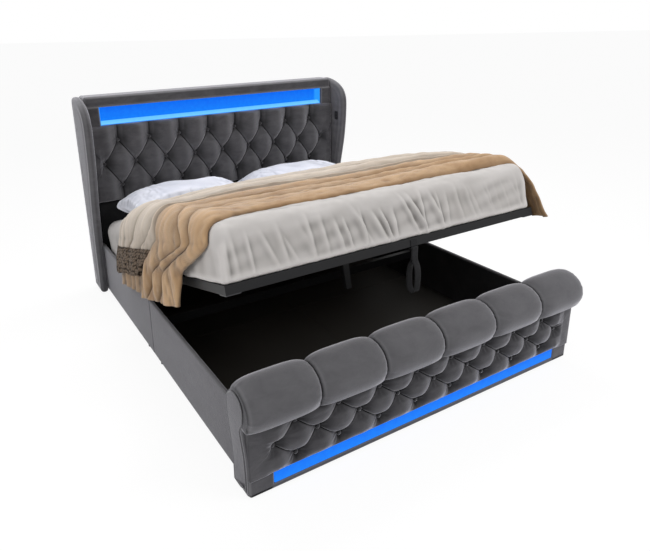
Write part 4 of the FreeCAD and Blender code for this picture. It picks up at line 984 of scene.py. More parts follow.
scroll = {
    "outline": [(-1.0312, 0.012), (-1.0312, 0.20), (-1.0312, 0.396), (-1.0345, 0.417),
                (-1.045, 0.4367), (-1.0577, 0.4516), (-1.0733, 0.4634), (-1.0911, 0.4716),
                (-1.1103, 0.4756), (-1.1299, 0.4759), (-1.1489, 0.4713), (-1.1654, 0.4609),
                (-1.1777, 0.4457), (-1.1845, 0.4274), (-1.1851, 0.4078), (-1.182, 0.387),
                (-1.1765, 0.368), (-1.169, 0.355), (-1.161, 0.343), (-1.1565, 0.329),
                (-1.1555, 0.312), (-1.1575, 0.290), (-1.160, 0.262), (-1.1625, 0.228),
                (-1.1635, 0.200), (-1.164, 0.06), (-1.163, 0.022), (-1.157, 0.011), (-1.148, 0.0085),
                (-1.08, 0.0085), (-1.042, 0.0085), (-1.034, 0.0095)],
    "inner": 0.9403, "outer": 0.962, "lean": 0.015,
    "round": 0.007, "bulge": 0.0, "seam": 0.010, "reach": 0.12,
    "panelIn": 0.009, "panelFront": 0.013,
    "panelSteps": ((0, -0.004), (0, 0.0008), (0.0012, 0.0018), (0.006, 0.0022)),    # inset, height
    # inset, height and radius of the welt round the panel and of the line of painted shade outside it,
    # and whether it is that line of painted shade
    "cords": ((0, 0.0012, 0.0028, False), (-0.0046, -0.0006, 0.0022, True)),
}


def scrollPanel(side):
    # the panel let into the end
    line = resample(scroll["outline"], 260, closed=True)
    normal = outwardNormals(line)
    front = ease(-line[:, 0], 1.09, 1.13) * (1 - ease(line[:, 1], 0.30, 0.35))
    inset = scroll["panelIn"] + scroll["panelFront"] * front

    def course(more, proud):
        ring = drawIn(line, normal, inset + more)
        lean = scroll["lean"] * ease(ring[:, 1], 0.10, 0.40)
        return np.column_stack([side * (scroll["outer"] + lean + proud), ring])

    pieces = [tubeMesh("scrollPanel", [course(*step) for step in scroll["panelSteps"]], velvetCloth)]
    for more, proud, radius, shading in scroll["cords"]:
        cord = resample(course(more, proud), 260, closed=True)
        pieces.append(weltPiece("scrollWelt", cord, radius, velvetCloth, closed=True, shading=shading))
    return pieces


print("stage: scroll ends")
for side, word in bothSides:
    cap = paddedBoard("scrollEnd" + word.title(), scroll["outline"], side * scroll["inner"],
                      side * scroll["outer"], scroll, 200)
    cap = joinPieces([cap, *scrollPanel(side)], "scrollEnd" + word.title())
    dress(cap, "bed_base", ["footboard_end_" + word])


channels = {
    "count": 6,
    "half": 0.9745,
    "section": [(-1.0315, 0.334), (-1.0310, 0.372), (-1.0310, 0.418), (-1.0355, 0.451),
                (-1.0485, 0.476), (-1.0668, 0.495), (-1.0900, 0.5075), (-1.1190, 0.5125),
                (-1.1480, 0.5095), (-1.1760, 0.4995), (-1.2010, 0.4835), (-1.2205, 0.4620),
                (-1.2340, 0.4360), (-1.2400, 0.4090), (-1.2385, 0.3820), (-1.2300, 0.3570),
                (-1.2170, 0.3380), (-1.199, 0.3270), (-1.172, 0.3240), (-1.120, 0.3260),
                (-1.060, 0.3325)],
    "seamInset": 0.034, "fullness": 4.2, "seed": 5, "around": 108,
    "wrinkle": 0.0009, "wrinkles": (13, 19, 29), "wrinkleReach": 0.11, "wrinkleStart": 0.03,
    "underside": (0.345, 0.02), "underFlat": 0.75,      # stays flat below this height
    "places": [0, 0.004, 0.010, 0.020, 0.034, 0.052, 0.075, 0.105, 0.14, 0.19],
    # painted highlight over the whole channel and beside each seam, painted shade in the seams
    "rim": 0.24, "seamHighlight": (0.22, 0.06, 0.035), "seamShade": (0.85, 0.022),
}


def rollChannel(width):
    line = smoothCurve(channels["section"], channels["around"], closed=True)
    normal = outwardNormals(line)
    around = np.linspace(0, 2 * np.pi, len(line), endpoint=False)
    height, fade = channels["underside"]
    under = np.clip((height - line[:, 1]) / fade, 0, 1)
    places = np.concatenate([channels["places"], np.linspace(0.25, 0.5, 6)])
    places = np.concatenate([places, 1 - places[-2::-1]])
    random = np.random.default_rng(channels["seed"])
    phases = random.uniform(0, 2 * np.pi, 4)
    brightest, seamMiddle, seamWidth = channels["seamHighlight"]
    darkest, darkWidth = channels["seamShade"]
    rings, paintedHighlights, paintedShades = [], [], []
    for share in places:
        t = abs(2 * share - 1)
        full = (1 - t ** channels["fullness"]) ** 0.5 if t < 1 else 0.0
        inset = channels["seamInset"] * (1 - full)
        near = math.exp(-(1 - t) / channels["wrinkleReach"])
        side = 0 if share < 0.5 else 1
        ripple = sum(np.cos(k * around + phases[(i + side) % 4])
                     for i, k in enumerate(channels["wrinkles"]))
        start = min(1.0, (1 - t) / channels["wrinkleStart"])
        swell = channels["wrinkle"] * ripple * near * start * (1 - under)
        depth = inset * (1 - channels["underFlat"] * under) - swell
        ring = line - normal * depth[:, None]
        rings.append(np.column_stack([np.full(len(line), 0.0002 + (width - 0.0004) * share), ring]))
        # painted highlight near the seams, painted shade down in the seams
        bright = brightest * math.exp(-((1 - t - seamMiddle) / seamWidth) ** 2)
        paintedHighlights.append(np.full(len(line), channels["rim"] + bright))
        paintedShades.append(np.full(len(line), darkest * math.exp(-((1 - t) / darkWidth) ** 2)))
    return tubeMesh("channelSource", rings, velvetCloth, rim=np.array(paintedHighlights), deep=np.array(paintedShades))


print("stage: footboard roll")
width = 2 * channels["half"] / channels["count"]
roll = layRows("footboardRoll", rollChannel(width),
               [(channels["count"], (-channels["half"], 0, 0), (width, 0, 0))], velvetCloth)
dress(roll, "bed_base", ["footboard_roll"])


# flat upholstered parts: borders, lit strip and rails

borders = {
    # low corner, high corner, edge radius, spacing and crown; a stile and a block stand at each end
    "topBand": ((-0.941, 1.074, 1.2705), (0.941, 1.2198, 1.340), 0.016, 0.02, (0, 0.002, 0.001)),
    "topStile": ((0.8515, 1.066, 1.1440), (0.941, 1.1148, 1.276), 0.012, 0.012, (0, 0.003, 0)),
    "lowBand": ((-0.9590, -1.1705, 0.0085), (0.9590, -1.1355, 0.0335), 0.010, 0.012, (0, 0, 0)),
    "endBlock": ((0.8485, -1.1705, 0.0085), (0.9590, -1.1355, 0.102), 0.010, 0.01, (0, 0, 0)),
    "footLightLens": ((-0.8478, -1.1688, 0.0342), (0.8478, -1.1372, 0.0888), 0.003, 0.03, (0, 0, 0)),
    "seamStart": (-0.94, 1.0772, 1.2722), "seamEnd": (0.94, 1.0772, 1.2722), "seamRadius": 0.0022,
}
rails = {
    "lengths": {"foot": (-1.0305, 0.0746), "head": (0.0754, 1.1145)},
    # of the cover and its lining: the faces' x, the heights, how much shorter it is at each end,
    # then edge radius, cloth, spacing, crown and painted highlight
    "layers": (((0.9160, 0.9335), (0.0085, 0.343), 0, 0.0065, velvetCloth, 0.02, (0.0016, 0, 0), 0.4),
               ((0.9139, 0.9159), (0.012, 0.332), 0.002, 0.0003, liningCloth, 0.05)),
}


def borderSlab(name, material=velvetCloth, mirrored=False):
    low, high, radius, spacing, crown = borders[name]
    if mirrored:
        low, high = (-high[0], *low[1:]), (-low[0], *high[1:])
    return roundedSlab(name, low, high, radius, material, spacing, crown)


def borderPair(name):
    return [borderSlab(name, mirrored=True), borderSlab(name)]


print("stage: borders and rails")
steps = np.linspace(0, 1, 24)[:, None]
seamStart, seamEnd = np.array(borders["seamStart"]), np.array(borders["seamEnd"])
topSeam = weltPiece("topSeam", seamStart + (seamEnd - seamStart) * steps, borders["seamRadius"],
                    velvetCloth)
topBorder = joinPieces([borderSlab("topBand"), *borderPair("topStile"), topSeam], "headboardTopBorder")
dress(topBorder, "bed_base", ["headboard_top_border"])
footBorder = joinPieces([borderSlab("lowBand"), *borderPair("endBlock")], "footboardFrontBorder")
dress(footBorder, "bed_base", ["footboard_front_border"])
dress(borderSlab("footLightLens", blueGlow), "bed_base", ["footboard_led_strip"])

for side, word in bothSides:
    for end, (y0, y1) in rails["lengths"].items():
        name = "rail" + word.title() + end.title()
        layers = []
        for across, (bottom, top), short, *looks in rails["layers"]:
            low, high = sorted(side * x for x in across)
            layers.append(roundedSlab(name, (low, y0 + short, bottom), (high, y1 - short, top), *looks))
        dress(joinPieces(layers, name), "bed_base", ["_".join(("side_rail", word, end))])


# bedding, laid out in the platform's own places: along it from the foot, and above it

platform = {"tilt": 16.0, "hinge": (0.810, 0.290), "hingePlace": (1.789, 0.020)}


def platformPoint(x, along, above):
    tilt = math.radians(platform["tilt"])
    a = np.asarray(along, float) - platform["hingePlace"][0]
    b = np.asarray(above, float) - platform["hingePlace"][1]
    y = platform["hinge"][0] + a * math.cos(tilt) + b * math.sin(tilt)
    z = platform["hinge"][1] - a * math.sin(tilt) + b * math.cos(tilt)
    return np.stack(np.broadcast_arrays(np.asarray(x, float), y, z), -1)


def waves(points, scale, count, seed, stretch=(1, 1)):
    # band-limited noise from crossed sine waves, about -1 to 1
    random = np.random.default_rng(seed)
    total = np.zeros(points.shape[:-1])
    for _ in range(count):
        turn = random.uniform(0, 2 * np.pi)
        pace = 2 * np.pi * scale * random.uniform(0.6, 1.6)
        way = np.array([math.cos(turn) * stretch[0], math.sin(turn) * stretch[1]]) * pace
        total += np.sin(points[..., 0] * way[0] + points[..., 1] * way[1] + random.uniform(0, 7))
    return total / math.sqrt(count)


bed = {
    "half": 0.905, "foot": 0.0, "head": 2.0, "low": 0.0405, "top": 0.290,
    "corner": 0.060, "edge": 0.075, "lowRound": 0.018,
    "hill": 0.066, "hillRise": (0.12, 0.95), "hillFall": (1.22, 1.5), "hillLoss": 0.72,
    "spine": (0.93, 1.07),      # the rings of the top close in on this stretch
    "spacing": {"foot": 0.0052, "side": 0.0145, "head": 0.026},
    "flat": 0.835, "edgeRun": 0.118,     # over the top to the edge, and round the edge
    "spread": 0.045, "spreadDrop": 0.325, "spreadBend": 0.8,     # how far a fall stands out
    "clear": 0.033, "clearDrops": (0.05, 0.13),     # lower down a fall stays clear of the rails
}


def hillAt(x, along):
    rise = ease(along, *bed["hillRise"]) * (1 - bed["hillLoss"] * ease(along, *bed["hillFall"]))
    return bed["hill"] * np.clip(1 - np.abs(np.asarray(x) / bed["half"]) ** 3, 0, 1) * rise


def footprint():
    # rounded rectangle walked round: close together at the foot, wider at the head
    half, foot, head, corner = bed["half"], bed["foot"], bed["head"], bed["corner"]
    wide, low, high = half - corner, foot + corner, head - corner
    # of each straight run: its start, end and spacing, and the centre of the corner after it
    course = (((-wide, foot), (wide, foot), "foot", (wide, low)),
              ((half, low), (half, high), "side", (wide, high)),
              ((wide, head), (-wide, head), "head", (-wide, high)),
              ((-half, high), (-half, low), "side", (-wide, low)))
    points = []
    for quarter, (start, end, step, centre) in enumerate(course):
        way = np.subtract(end, start)
        steps = max(2, int(np.linalg.norm(way) / bed["spacing"][step]))
        points += [np.add(start, way * (k / steps)) for k in range(steps)]
        turns = (math.radians(90 * (quarter - 1) + 90 * k / 12) for k in range(12))
        points += [(centre[0] + corner * math.cos(turn), centre[1] + corner * math.sin(turn))
                   for turn in turns]
    return np.array(points)


sheetFolds = {
    "count": 31, "seed": 3, "left": -0.86, "reach": 1.75,
    "start": (0.000, 0.070), "width": (0.009, 0.024), "depth": (0.005, 0.015), "slant": (0.04, 0.52),
    "grow": 0.10, "settle": (0.15, 0.25), "settled": 0.6, "sharp": 0.45,
    "middle": -0.02, "middleWidth": 0.30, "strength": 0.70, "calm": (0.25, 0.55),
    # the ridges at the corners: their place, slant, height and widths
    "leftRidge": (-0.872, -0.04, 0.026, 0.032, 0.009, (0.05, 0.14)),
    "rightRidge": (0.868, -0.03, 0.009, 0.016, 0.016, (0.05, 0.12)),
    "ridgeFrom": 0.05,
}


def footFolds(x, below):
    # how far the sheet stands out on the foot face; below is measured down from the top
    sizes = sheetFolds
    random = np.random.default_rng(sizes["seed"])
    out = np.zeros_like(x)
    for i in range(sizes["count"]):
        middle = sizes["left"] + sizes["reach"] * (i + random.uniform(0.1, 0.9)) / sizes["count"]
        start, width, depth, slant = (random.uniform(*sizes[key])
                                      for key in ("start", "width", "depth", "slant"))
        shift = x - middle - slant * (below - start)
        settled = 1 - sizes["settled"] * ease(below, *sizes["settle"])
        growing = ease(below, start, start + sizes["grow"]) * settled
        central = math.exp(-((middle - sizes["middle"]) / sizes["middleWidth"]) ** 2)
        strong = sizes["strength"] + sizes["strength"] * central
        growing = growing * strong * (1 - sizes["settled"] * float(ease(middle, *sizes["calm"])))
        narrow = np.where(shift > 0, width * sizes["sharp"], width)
        out += depth * growing * np.exp(-(shift / narrow) ** 2)
    for key in ("leftRidge", "rightRidge"):
        spot, lean, height, outer, inner, drops = sizes[key]
        away = x - spot - lean * (below - sizes["ridgeFrom"])
        out += height * np.exp(-(away / np.where(away < 0, outer, inner)) ** 2) * ease(below, *drops)
    return out


sheet = {
    "rings": {"corner": 5, "side": 20, "edge": 14, "top": 62},
    "bottomShares": (0.97, 0.5),
    # of each kind of crumple: height, then waves per metre, their count, seed and stretch
    "foot": 0.0022, "footWaves": (5, 9, 8), "footReach": 0.05,
    "side": 0.0035, "sideWaves": (7, 9, 21, (1, 0.3)), "sideDrops": (0.05, 0.16),
    "soft": 0.0028, "softWaves": (3.2, 10, 31),
    "small": 0.0012, "smallWaves": (12, 12, 47), "smallCalm": 0.8, "calmRun": (0.40, 0.85),
    "pulls": -0.0022, "pullWaves": (4.5, 6, 77, (0.25, 1.0)),
    "topFrom": 0.7,      # of the edge's height
    "shade": (8, 0.0042),
}


def sheetedMattress():
    base = footprint()
    edge, top, low, lowRound = bed["edge"], bed["top"], bed["low"], bed["lowRound"]
    centre = np.column_stack([np.zeros(len(base)), np.clip(base[:, 1], *bed["spine"])])
    normal = outwardNormals(base)
    levels = []         # of each ring: inset, height and share of the way to the spine
    counts = sheet["rings"]
    for turn in np.linspace(0, math.pi / 2, counts["corner"]):
        levels.append((lowRound * (1 - math.sin(turn)), low + lowRound * (1 - math.cos(turn)), 0.0))
    for height in np.linspace(low + 0.03, top - edge, counts["side"]):
        levels.append((0.0, height, 0.0))
    for turn in np.linspace(0, math.pi / 2, counts["edge"])[1:]:
        levels.append((edge * (1 - math.cos(turn)), top - edge + edge * math.sin(turn), 0.0))
    for share in np.linspace(0, 1, counts["top"])[1:]:
        levels.append((edge, top, share))
    bottom = [(lowRound, low, share) for share in sheet["bottomShares"]]
    topStart = top - edge * sheet["topFrom"]
    rings = []
    for inset, above, share in [*bottom, *levels]:
        flat = base - normal * inset
        flat = flat + (centre - flat) * share
        x, along = flat[:, 0], flat[:, 1]
        lift = np.clip((above - (top - edge)) / edge, 0, 1)
        raised = above + hillAt(x, along) * lift
        if above < top - 1e-6 and share == 0:
            below = top - above
            near = np.exp(-np.clip(along / sheet["footReach"], 0, 9) ** 2)
            onFoot = near * np.clip(-normal[:, 1], 0, 1)
            stand = footFolds(x, np.full_like(x, below)) * onFoot
            facing = np.column_stack([x, np.full_like(x, above * 2)])
            stand += sheet["foot"] * waves(facing, *sheet["footWaves"]) * onFoot
            facing = np.column_stack([along, np.full_like(x, above)])
            runs = sheet["side"] * waves(facing, *sheet["sideWaves"])
            stand += runs * np.abs(normal[:, 0]) * ease(below, *sheet["sideDrops"])
            x = x + normal[:, 0] * stand
            along = along + normal[:, 1] * stand
        if above > topStart:
            facing = np.column_stack([x, along])
            small = sheet["small"] * (1 - sheet["smallCalm"] * ease(along, *sheet["calmRun"]))
            soft = sheet["soft"] * waves(facing, *sheet["softWaves"])
            soft = soft + small * waves(facing, *sheet["smallWaves"])
            pulls = np.abs(waves(facing, *sheet["pullWaves"])) * sheet["pulls"]
            raised = raised + (soft + pulls) * ease(above, topStart, top)
        rings.append(platformPoint(x, along, raised))
    count = len(base)
    faces = [tuple(face) for face in gridFaces(len(rings), count, False, True)]
    points = np.array(rings).reshape(-1, 3)
    piece = makeMesh("sheetedMattress", points, faces + [tuple(range(count))], sheetCotton)
    shadeFolds(piece, *sheet["shade"])
    return piece


print("stage: mattress")
mattress = sheetedMattress()
dress(mattress, "platform", ["mattress"])


pillows = {
    "width": 0.826, "depth": 0.468, "thickness": 0.180, "middle": 0.4300, "along": 1.628,
    "above": 0.393, "lean": 11.0, "droop": 0.050, "sag": 0.010, "pinch": (0.055, 0.06),
    "steps": (72, 40), "square": 2.6, "crown": 0.52,
    "pucker": 0.006, "slack": 0.008, "crease": 0.0100,
    "dent": 0.020, "dentPlace": (0.08, -0.02), "dentSize": (0.2, 0.12),
    "puckers": (17, 12), "puckerReach": 0.11, "puckerStart": 0.03, "slacks": (3.4, 7),
    "creases": (13, 9), "creaseStretch": (1.0, 0.45), "creaseFrom": (0.25, 0.9), "creaseWidth": 0.26,
    "under": 0.9, "underPucker": 0.4,
    "gap": 0.013, "belly": 0.004, "bellyReach": 0.02,     # kept over the mattress
    "voxel": 0.0068, "frames": 20, "cap": 0.016, "shade": (12, 0.0040),
    "filling": {"use_pressure": True, "uniform_pressure_force": 4.0, "quality": 5, "mass": 0.25,
                "tension_stiffness": 18, "compression_stiffness": 18, "bending_stiffness": 0.35,
                "shrink_min": -0.035},
    "relax": {"iterations": 2, "factor": 0.4},
}


def flatPillow(name, side, seed):
    # two sheets sewn at the edge, corners drawn to points, before it is filled out
    u, v = np.meshgrid(*(np.linspace(-1, 1, count) for count in pillows["steps"]), indexing="ij")
    x = u * pillows["width"] / 2 * (1 - pillows["pinch"][0] * (1 - v ** 2))
    y = v * pillows["depth"] / 2 * (1 - pillows["pinch"][1] * (1 - u ** 2))
    square = pillows["square"]
    full = np.clip((1 - np.abs(u) ** square) * (1 - np.abs(v) ** square), 0, 1) ** pillows["crown"]
    border = np.minimum(1 - np.abs(u), 1 - np.abs(v))
    flat = np.stack([x, y], -1)
    puckers = waves(flat, *pillows["puckers"], seed) * np.exp(-border / pillows["puckerReach"])
    puckers = puckers * ease(border, 0, pillows["puckerStart"]) * pillows["pucker"]
    slack = waves(flat, *pillows["slacks"], seed + 3) * pillows["slack"] * full
    creases = np.abs(waves(flat, *pillows["creases"], seed + 5, pillows["creaseStretch"]))
    creases = np.exp(-(creases * ease(np.abs(u), *pillows["creaseFrom"]) / pillows["creaseWidth"]) ** 2)
    slack = slack - pillows["crease"] * creases * np.minimum(full, 0.8) * full
    dentX, dentY = (x - pillows["dentPlace"][0] * side, y - pillows["dentPlace"][1])
    wideX, wideY = pillows["dentSize"]
    dent = -pillows["dent"] * np.exp(-(dentX / wideX) ** 2 - (dentY / wideY) ** 2)
    half = pillows["thickness"] / 2 * full
    upper = half + puckers + slack + dent * full
    lower = -half * pillows["under"] - puckers * pillows["underPucker"]
    droop = pillows["droop"] * np.abs(u) ** 3 + pillows["sag"] * v ** 2
    points, faces = [], []
    for level in (upper - droop, lower - droop):
        faces.append(gridFaces(*u.shape, start=len(points) * u.size))
        points.append(np.stack([x, y, level], -1).reshape(-1, 3))
    points = np.vstack(points)
    lean = math.radians(pillows["lean"])
    along = points[:, 1] * math.cos(lean) - points[:, 2] * math.sin(lean) + pillows["along"]
    above = points[:, 1] * math.sin(lean) + points[:, 2] * math.cos(lean) + pillows["above"]
    belly = pillows["belly"] * (1 - np.exp(-np.abs(points[:, 2]) / pillows["bellyReach"]))
    above = np.maximum(above, bed["top"] + pillows["gap"] + belly)
    placed = platformPoint(points[:, 0] + side * pillows["middle"], along, above)
    return makeMesh(name, placed, np.vstack(faces), pillowCotton)


def fillOut(piece):
    # remeshes the shape and lets the cloth swell under pressure, moving no point beyond the cap
    bpy.context.view_layer.objects.active = piece
    remesh = piece.modifiers.new("voxels", "REMESH")
    remesh.mode = "VOXEL"
    remesh.voxel_size = pillows["voxel"]
    applyModifiers(piece)
    before = readVectors(piece.data.vertices, "co")
    cloth = piece.modifiers.new("cloth", "CLOTH")
    for key, value in pillows["filling"].items():
        setattr(cloth.settings, key, value)
    cloth.settings.effector_weights.gravity = 0
    cloth.point_cache.frame_start = 1
    cloth.point_cache.frame_end = pillows["frames"]
    scene = bpy.context.scene
    for frameNumber in range(1, pillows["frames"] + 1):
        scene.frame_set(frameNumber)
    applyModifiers(piece)
    moved = readVectors(piece.data.vertices, "co") - before
    scene.frame_set(1)
    far = np.linalg.norm(moved, axis=1)
    moved *= np.minimum(1, pillows["cap"] / np.maximum(far, 1e-9))[:, None]
    piece.data.vertices.foreach_set("co", (before + moved).ravel())
    relax = piece.modifiers.new("relax", "SMOOTH")
    for key, value in pillows["relax"].items():
        setattr(relax, key, value)
    applyModifiers(piece)
    smoothFaces(piece.data)


print("stage: pillows")
for side, word in bothSides:
    pillow = flatPillow("pillow" + word.title(), side, 40 + side)
    fillOut(pillow)
    shadeFolds(pillow, *pillows["shade"])
    dress(pillow, "platform", ["pillow_" + word])


# throws: sheets drawn from guide lines on the unrolled bed, w across it and y along it

def overBedding(w, along, lift):
    # w is measured over the mattress: flat on top, round its edge, then hanging
    size, side = np.abs(w), np.sign(w)
    flat, edge, run = bed["flat"], bed["edge"], bed["edgeRun"]
    turn = np.clip((size - flat) / run, 0, 1) * math.pi / 2
    drop = np.maximum(size - flat - run, 0)
    hill = hillAt(np.clip(w, -bed["half"], bed["half"]), along)
    x = np.where(size <= flat, size, flat + (edge + lift) * np.sin(turn))
    x = x + bed["spread"] * (drop / bed["spreadDrop"]) ** bed["spreadBend"]
    x = np.maximum(x, (flat + edge + bed["clear"]) * ease(drop, *bed["clearDrops"]))
    above = bed["top"] - edge + (edge + lift + hill) * np.cos(turn) - drop
    return side * x, along, above


def guide(line, w):
    keys = sorted(line)
    return np.interp(w, [key / 1000 for key in keys], [line[key] / 1000 for key in keys])


# guide lines in mm: place across the unrolled bed, then place along it
tanLines = {
    "front": {1186: -49, 1163: -37, 1008: -8, 961: 12, 905: 59, 832: 80, 716: 90, 536: 125, 320: 120,
              60: 125, -290: 140, -480: 180, -640: 190, -818: 98, -890: 75, -950: 55, -981: 94,
              -1016: 168, -1061: 292, -1099: 369, -1141: 388, -1204: 401, -1285: 436},
    "groove": {1186: 120, 1000: 170, 860: 210, 400: 330, -73: 418, -496: 490, -715: 528, -818: 546,
               -905: 370, -940: 305, -965: 305, -981: 345, -1003: 430, -1026: 514, -1055: 607,
               -1082: 675, -1113: 725, -1149: 757, -1186: 776, -1215: 800, -1248: 842},
    "seam": {1186: 300, 963: 315, 857: 340, 545: 415, 243: 487, 12: 542, -332: 624, -594: 687,
             -750: 724, -832: 744, -912: 679, -950: 660, -986: 730, -1034: 820, -1066: 863,
             -1097: 893, -1137: 922, -1167: 929, -1248: 960},
    "under": {1186: 330, 900: 400, 0: 620, -832: 800, -950: 760, -1034: 1000, -1145: 1440,
              -1248: 1480},
}
creamLines = {
    "seam": tanLines["seam"],
    "groove": {1048: 345, 963: 348, 545: 452, 12: 578, -594: 722, -832: 778, -919: 712, -951: 802,
               -991: 892, -1027: 932, -1061: 941},
    "far": {1048: 452, 900: 450, 831: 560, 618: 641, 435: 732, 199: 930, -232: 1071, -405: 1128,
            -510: 1162, -625: 1200, -707: 1227, -788: 1253, -855: 1275, -905: 1390, -985: 1430,
            -1140: 1475},
}
throws = {
    "tanThrow": {"ends": (-1.248, 1.186), "columns": 300, "flute": 0.0050, "fluteLength": 0.120,
                 "seed": 12, "thickness": 0.0036},
    "creamThrow": {"ends": (-1.0, 1.048), "columns": 260, "flute": 0.0045, "fluteLength": 0.105,
                   "seed": 19, "thickness": 0.0036},
    "knitBand": {"ends": (-1.0, -1.145), "columns": 36, "flute": 0.0045, "fluteLength": 0.105,
                 "seed": 19, "thickness": 0.008},
    "hem": 0.006, "hemWaves": (2.2, 5), "hemFrom": (0.98, 1.15),
    "edgeCalm": 0.42, "edgeRun": (0.80, 0.95),
    "middleCalm": 0.36, "middleRun": (-0.05, 0.65), "leftRun": (-0.92, -0.70),
    "wander": 1.4, "wanderPace": 5.3, "lean": 2.0, "hangs": (0.955, 1.13),
    "ruffle": 0.0024, "broad": (9.0, 10), "fine": (24.0, 10), "fineShare": 0.6, "lift": 0.8,
    "lowest": -0.008, "shade": (8, 0.0065), "rowSteps": 9,
}


def curveThrough(values, marks, fine):
    # smooth values between guides, per column
    values = np.asarray(values)
    slopes = np.zeros_like(values)
    gaps = np.diff(marks)[:, None]
    steep = np.diff(values, axis=0) / gaps
    slopes[1:-1] = (steep[1:] * gaps[:-1] + steep[:-1] * gaps[1:]) / (gaps[1:] + gaps[:-1])
    slopes[0], slopes[-1] = steep[0], steep[-1]
    out = []
    for mark in fine:
        k = min(np.searchsorted(marks, mark, side="right") - 1, len(marks) - 2)
        h = marks[k + 1] - marks[k]
        t = (mark - marks[k]) / h
        out.append((2 * t ** 3 - 3 * t ** 2 + 1) * values[k] + (t ** 3 - 2 * t ** 2 + t) * h * slopes[k]
                   + (-2 * t ** 3 + 3 * t ** 2) * values[k + 1] + (t ** 3 - t ** 2) * h * slopes[k + 1])
    return np.array(out)


def layThrow(name, lines, rows, material):
    # a sheet through rows of points that cross the bed, from the foot side on
    sizes = throws[name]
    ends, seed, columns = sizes["ends"], sizes["seed"], sizes["columns"]
    w = ends[0] + (ends[1] - ends[0]) * np.linspace(0, 1, columns)
    kernel = np.exp(-np.linspace(-2, 2, 9) ** 2)
    kernel /= kernel.sum()
    places = [np.convolve(np.pad(rowLine(w, lines, *row[:4]), 4, mode="edge"), kernel, mode="valid")
              for row in rows]
    lifts = [np.full(columns, row[4]) for row in rows]
    marks = np.arange(len(rows), dtype=float)
    fine = np.linspace(0, len(rows) - 1, (len(rows) - 1) * throws["rowSteps"] + 1)
    along = curveThrough(places, marks, fine)
    lift = curveThrough(lifts, marks, fine)
    # painted shade of each row's hollow, carried down the rows
    rowShade = np.repeat(np.interp(fine, marks, [row[5] for row in rows]), columns)
    across = np.broadcast_to(w, along.shape)
    random = np.random.default_rng(seed)
    hem = waves(np.stack([along, along * 0], -1), *throws["hemWaves"], seed) * throws["hem"]
    across = across + hem * np.sign(across) * ease(np.abs(across), *throws["hemFrom"])
    # pressed flatter over the edge and in the left middle, then fluted where it hangs
    lift = lift * (1 - throws["edgeCalm"] * ease(np.abs(across), *throws["edgeRun"]))
    calm = throws["middleCalm"] * (1 - ease(across, *throws["middleRun"]))
    lift = lift * (1 - calm * ease(across, *throws["leftRun"]))
    turn = along * 2 * np.pi / sizes["fluteLength"] + random.uniform(0, 6)
    turn = turn + throws["wander"] * np.sin(along * throws["wanderPace"])
    pleat = np.sin(turn + throws["lean"] * np.abs(across))
    lift = lift + sizes["flute"] * (pleat + 1) * ease(np.abs(across), *throws["hangs"])
    flat = np.stack([across, along], -1)
    ruffles = waves(flat, *throws["broad"], seed + 1, (0.25, 1.0))
    ruffles = ruffles + throws["fineShare"] * waves(flat, *throws["fine"], seed + 2, (0.5, 1.0))
    lift = np.maximum(lift + throws["ruffle"] * (ruffles + throws["lift"]), throws["lowest"])
    points = platformPoint(*overBedding(across, along, lift))
    walked = np.concatenate([np.zeros((1, columns)),
                             np.cumsum(np.linalg.norm(np.diff(points, axis=0), axis=2), axis=0)])
    uv = np.stack([across, walked], -1).reshape(-1, 2)
    piece = makeMesh(name, points.reshape(-1, 3), gridFaces(*along.shape), material, mend=False, uv=uv)
    shadeFolds(piece, *throws["shade"], rowShade)
    thicken = piece.modifiers.new("thickness", "SOLIDIFY")
    thicken.thickness = sizes["thickness"]
    thicken.offset = 0.0
    thicken.use_rim = True
    applyModifiers(piece)
    smoothFaces(piece.data)
    return piece, float(np.median(walked[-1])), float(abs(ends[1] - ends[0]))


def rowLine(w, lines, first, second, share, gap):
    # a share of the way from the row's first guide line to its second, and a gap on
    return guide(lines[first], w) * (1 - share) + guide(lines[second], w) * share + gap


# of each row: its guide lines, the share and gap between them, the height over the bedding and
# how much painted shade its hollow gets
tanRows = [
    ("front", "front", 0, 0.020, -0.006, 0.6), ("front", "front", 0, 0.002, -0.003, 0.5),
    ("front", "front", 0, 0.008, 0.024, 0.1), ("front", "groove", 0.20, 0, 0.050, 0.0),
    ("front", "groove", 0.42, 0, 0.054, 0.0), ("front", "groove", 0.52, 0, 0.048, 0.3),
    ("front", "groove", 0.58, 0, 0.030, 0.9), ("front", "groove", 0.62, 0, 0.026, 0.9),
    ("front", "groove", 0.68, 0, 0.046, 0.4), ("front", "groove", 0.82, 0, 0.064, 0.0),
    ("groove", "groove", 0, -0.020, 0.060, 0.2), ("groove", "groove", 0, -0.006, 0.034, 1.0),
    ("groove", "groove", 0, 0.002, 0.014, 1.0), ("groove", "groove", 0, 0.016, 0.056, 0.5),
    ("groove", "seam", 0.45, 0, 0.078, 0.0), ("seam", "seam", 0, -0.020, 0.066, 0.3),
    ("seam", "seam", 0, 0.004, 0.020, 0.8), ("seam", "under", 0.5, 0, 0.004, 0.25),
    ("under", "under", 0, 0.03, 0.004, 0.25),
]
